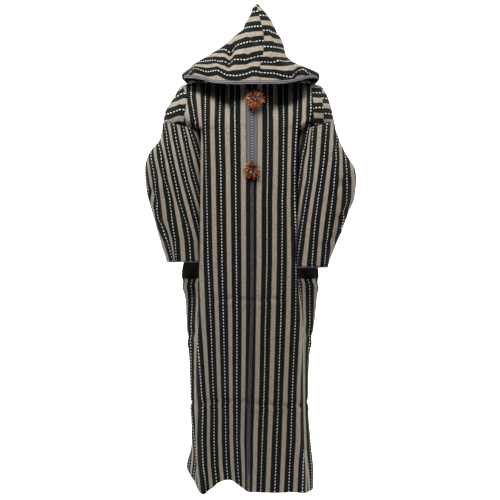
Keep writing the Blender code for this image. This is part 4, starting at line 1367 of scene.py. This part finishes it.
def slit_braid(side, word, ground, braid):
    """Flat braid beside the neck slit, which spreads from the other one at its top."""
    count = 60
    edges = (0.0, 0.25, 0.5, 0.75, 1.0)
    rows = []
    for row in range(count + 1):
        z = SLIT_TOP + (SLIT_BOTTOM - SLIT_TOP) * row / count
        start = BRAID_INNER + slit_half_width(z)
        xs = [side * (start + (BRAID_OUTER - BRAID_INNER) * edge) for edge in edges]
        rows.append([ground.in_front(x, z, BRAID_LIFT) for x in xs])
    width = BRAID_OUTER - BRAID_INNER
    across = np.tile(np.array(edges) * width, (count + 1, 1))
    down = np.tile(np.linspace(0.0, SLIT_TOP - SLIT_BOTTOM, count + 1)[:, None], (1, len(edges)))
    thing = cloth_object(f"{word}_slit_braid", np.array(rows), across, down, flip=side < 0)
    thicken(thing, BRAID_WALL)
    hand_over(thing, f"braid_{word}", braid)
    return thing


def hood_braid_strip(braid):
    """Braid over the hood's front edge, from the left corner over the seam to the right corner."""
    count = 26
    top = HOOD_BRAID_WIDTH + HOOD_BRAID_HEM
    heights = (top, HOOD_BRAID_WIDTH * 0.66, HOOD_BRAID_WIDTH * 0.34, HOOD_BRAID_HEM)
    rows = []
    for place in range(-count, count + 1):
        side = -1 if place < 0 else 1
        turn = abs(place) / count * HOOD_BRAID_TURN
        step = HOOD_BRAID_TURN / count
        low = hood_point(side, turn, 1.0)
        high = hood_point(side, turn, 0.92)
        after = hood_point(side, turn + step, 1.0)
        before = hood_point(side, turn - step, 1.0) if place else hood_point(-side, step, 1.0)
        outward = ((after - before).cross(high - low) * side).normalized()
        up = (high - low).normalized()
        rows.append([low + up * height + outward * (WALL + TRIM_LIFT) for height in heights])
    points = np.array(rows)
    down = lengths_along(points, 0)
    across = np.tile(np.array(heights) * HOOD_BRAID_ROW_SHARE, (len(rows), 1))
    thing = cloth_object("hood_edge_braid", points, across, down, flip=True)
    thicken(thing, BRAID_WALL)
    hand_over(thing, "hood_braid", braid)
    return thing


def slit_cord(ground, material):
    count = 70
    path = []
    for step in range(count + 1):
        z = SLIT_CORD_TOP + (SLIT_CORD_BOTTOM - SLIT_CORD_TOP) * step / count
        point = ground.in_front(0.0008, z, SLIT_CORD_RADIUS)
        path.append((0.0, point.y, z))
    strands = Strands()
    strands.add(path, SLIT_CORD_RADIUS, 8)
    thing = strands.make("slit_cord_twist", material)
    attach(thing, "root")
    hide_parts("slit_cord")


def cuff_cord(side, word, material):
    """A thin cord just below the cuff, under the middle of its wall."""
    bottom = (SLEEVE_LEFT if side < 0 else SLEEVE_RIGHT)[-1][0]
    path = []
    for column in range(SLEEVE_COLUMNS):
        turn = column / SLEEVE_COLUMNS
        before = sleeve_point(side, turn - 0.01, bottom)
        after = sleeve_point(side, turn + 0.01, bottom)
        outward = Vector((before.y - after.y, after.x - before.x, 0.0)).normalized() * side
        point = sleeve_point(side, turn, bottom) + outward * WALL / 2
        path.append(point - Vector((0, 0, CUFF_CORD_RADIUS + CUFF_CORD_GAP)))
    strands = Strands()
    strands.add(path, CUFF_CORD_RADIUS, 8, ring=True)
    thing = strands.make(f"{word}_cuff_cord_twist", material)
    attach(thing, "root")
    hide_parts(f"cuff_cord_{word}")


def tassel(name, node, centre, reach, count, lean, material):
    """Yarn ends that burst from a knot, bend and droop. Lean turns more of them to one slant."""
    strands = Strands()
    centre = Vector(centre)
    for index in range(count):
        height = TASSEL_HOLE - 1.12 * (index + 0.5) / count
        angle = index * 2.39996 + random.uniform(-0.3, 0.3)
        flat = math.sqrt(max(1 - height * height, 0.0))
        away = Vector((flat * math.cos(angle), -height, flat * math.sin(angle)))
        away = (away + Vector((lean * 0.5, 0, -lean * 0.5)) * random.uniform(-1, 1)).normalized()
        length = reach * random.uniform(0.80, 1.02) * (0.70 + 0.30 * flat)
        sway = (random.uniform(-1, 1), random.uniform(-0.4, 0.4), random.uniform(-1, 1))
        bend = Vector(sway) * 0.22 * reach
        path = []
        for step in range(6):
            share = step / 5
            point = centre + away * (0.10 + 0.90 * share) * length
            point += bend * share * share + Vector((0, 0, -0.16 * reach)) * share * share
            path.append(tuple(point))
        strands.add(path, STRAND_RADIUS, 4, mark=random.random(), taper=0.2)
    thing = strands.make(name, material)
    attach(thing, "root")
    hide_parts(node)


def centre_seam_stitches(ground, material):
    """Crossed stitches that join the two fronts, from under the slit along the leaning seam to the hem."""
    strands = Strands()
    z = SLIT_BOTTOM - CROSS_START
    while z > HEM_Z + CROSS_END:
        middle = seam_shift(z)
        for lean in (-1, 1):
            aside = CROSS_HALF_WIDTH * lean
            beside = middle + aside * 0.2
            ends = ((middle - aside, z), (beside, z - CROSS_PITCH / 2), (middle + aside, z - CROSS_PITCH))
            lifts = (0.0004, 0.0014 if lean > 0 else 0.0008, 0.0004)
            path = [ground.in_front(x, height, lift) for (x, height), lift in zip(ends, lifts)]
            if None not in path:
                strands.add([tuple(point) for point in path], CROSS_RADIUS, 4)
        z -= CROSS_PITCH
    thing = strands.make("centre_seam_stitches", material)
    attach(thing, "root")


def seam_stitches(name, line, material, gap=0.008, length=0.0046):
    """Short straight stitches along a line of points on the cloth."""
    strands = Strands()
    points = [Vector(point) for point in line]
    run = [0.0]
    for before, after in zip(points, points[1:]):
        run.append(run[-1] + (after - before).length)

    def at(distance):
        index = min(int(np.searchsorted(run, distance, side="right")) - 1, len(points) - 2)
        share = (distance - run[index]) / max(run[index + 1] - run[index], 1e-9)
        return points[index].lerp(points[index + 1], min(share, 1.0))

    place = gap
    while place + length < run[-1]:
        path = [tuple(at(place + length * share)) for share in (0.0, 0.5, 1.0)]
        strands.add(path, 0.0006, 4)
        place += gap
    thing = strands.make(name, material)
    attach(thing, "root")


def armhole_line(side):
    """Just below the armhole seam, on the sleeve's outer face, from the armpit over the arm and back."""
    line = []
    for step in range(121):
        turn = -0.40 + 0.80 * step / 120
        z = sleeve_top(turn) - 0.006
        before = sleeve_point(side, turn - 0.01, z)
        after = sleeve_point(side, turn + 0.01, z)
        outward = Vector((before.y - after.y, after.x - before.x, 0.0)).normalized() * side
        line.append(sleeve_point(side, turn, z) + outward * (WALL + 0.0008))
    return line


def stage():
    """A pale floor that sweeps up behind the robe, and plain soft light."""
    pale = plain_material("pale_floor", (0.92, 0.92, 0.92, 1.0), 0.95)
    floor_z = HEM_Z - 0.09
    profile = [(-9.0, floor_z), (3.0, floor_z)]
    for step in range(1, 13):
        angle = math.pi / 2 * step / 12
        profile.append((3.0 + 2.0 * math.sin(angle), floor_z + 2.0 * (1 - math.cos(angle))))
    profile.append((5.0, 8.0))
    points = np.array([[(x, y, z) for x in (-9.0, 9.0)] for y, z in profile])
    marks = np.zeros(points.shape[:2])
    sweep = cloth_object("floor_and_backdrop", points, marks, marks, flip=True)
    sweep.data.materials.append(pale)
    lights = (
        ("key_softbox", (-0.35, -1.9, 1.50), (0, 0, -0.02), 0.7, 92, 18.5),
        ("fill_softbox", (2.0, -5.2, 0.6), (0, 0, -0.30), 2.6, 160, 5),
        ("left_backdrop_light", (-3.2, 1.4, 2.0), (-0.5, 5.0, 0.3), 2.0, 160, 420),
        ("right_backdrop_light", (3.2, 1.4, 2.0), (0.5, 5.0, 0.3), 2.0, 160, 420),
    )
    for name, place, aim, size, spread, power in lights:
        data = bpy.data.lights.new(name, "AREA")
        data.size = size
        data.spread = math.radians(spread)
        data.energy = power
        lamp = bpy.data.objects.new(name, data)
        lamp.location = place
        lamp.rotation_euler = (Vector(aim) - Vector(place)).to_track_quat("-Z", "Y").to_euler()
        bpy.context.scene.collection.objects.link(lamp)
    world = bpy.data.worlds.new("studio")
    world.use_nodes = True
    world.node_tree.nodes["Background"].inputs["Color"].default_value = (1, 1, 1, 1)
    world.node_tree.nodes["Background"].inputs["Strength"].default_value = 0.04
    bpy.context.scene.world = world
    bpy.context.scene.view_settings.view_transform = "Standard"


def camera():
    """Straight on to the robe's front, at the middle of its height."""
    data = bpy.data.cameras.new("front_view")
    data.lens = 36 * 7.0 / 1.70
    data.sensor_width = 36
    eye = bpy.data.objects.new("front_view", data)
    eye.location = (-0.0068, -7.134, -0.598)
    eye.rotation_euler = (math.pi / 2, 0, 0)
    bpy.context.scene.collection.objects.link(eye)
    bpy.context.scene.camera = eye


def dress():
    wool = striped_wool()
    braid = braid_yarn()
    cuff_yarn = twisted_cord("cuff_yarn", srgb(120, 118, 116), srgb(56, 54, 54), 0.0034)
    slit_yarn = twisted_cord("slit_yarn", srgb(240, 236, 240), srgb(60, 56, 62), 0.0090)
    seam_yarn = twisted_cord("seam_yarn", srgb(150, 138, 150), srgb(58, 50, 58), 0.0090)
    stitch_yarn = twisted_cord("stitch_yarn", srgb(150, 140, 128), srgb(110, 102, 92), 0.0040)
    yarn = tassel_yarn()
    fronts = []
    for side, word in ((-1, "left"), (1, "right")):
        front = front_cloth(side, word, wool)
        fronts.append(front)
        gore = gore_cloth(side, word, wool)
        sleeve = sleeve_cloth(side, word, wool)
        hood = hood_cloth(side, word, wool)
        cuff_cord(side, word, cuff_yarn)
        seam_stitches(f"{word}_armhole_stitches", armhole_line(side), stitch_yarn)
    back = back_cloth(wool)
    ground = Ground(fronts)
    for side, word in ((-1, "left"), (1, "right")):
        slit_braid(side, word, ground, braid)
    hood_braid_strip(braid)
    slit_cord(ground, slit_yarn)
    centre_seam_stitches(ground, seam_yarn)
    tassel("upper_tassel_yarn", "tassel_upper", (0.009, -0.150, -0.084), 0.034, 145, 0.2, yarn)
    tassel("lower_tassel_yarn", "tassel_lower", (0.001, -0.150, -0.324), 0.029, 105, 0.7, yarn)


dress()
stage()
camera()
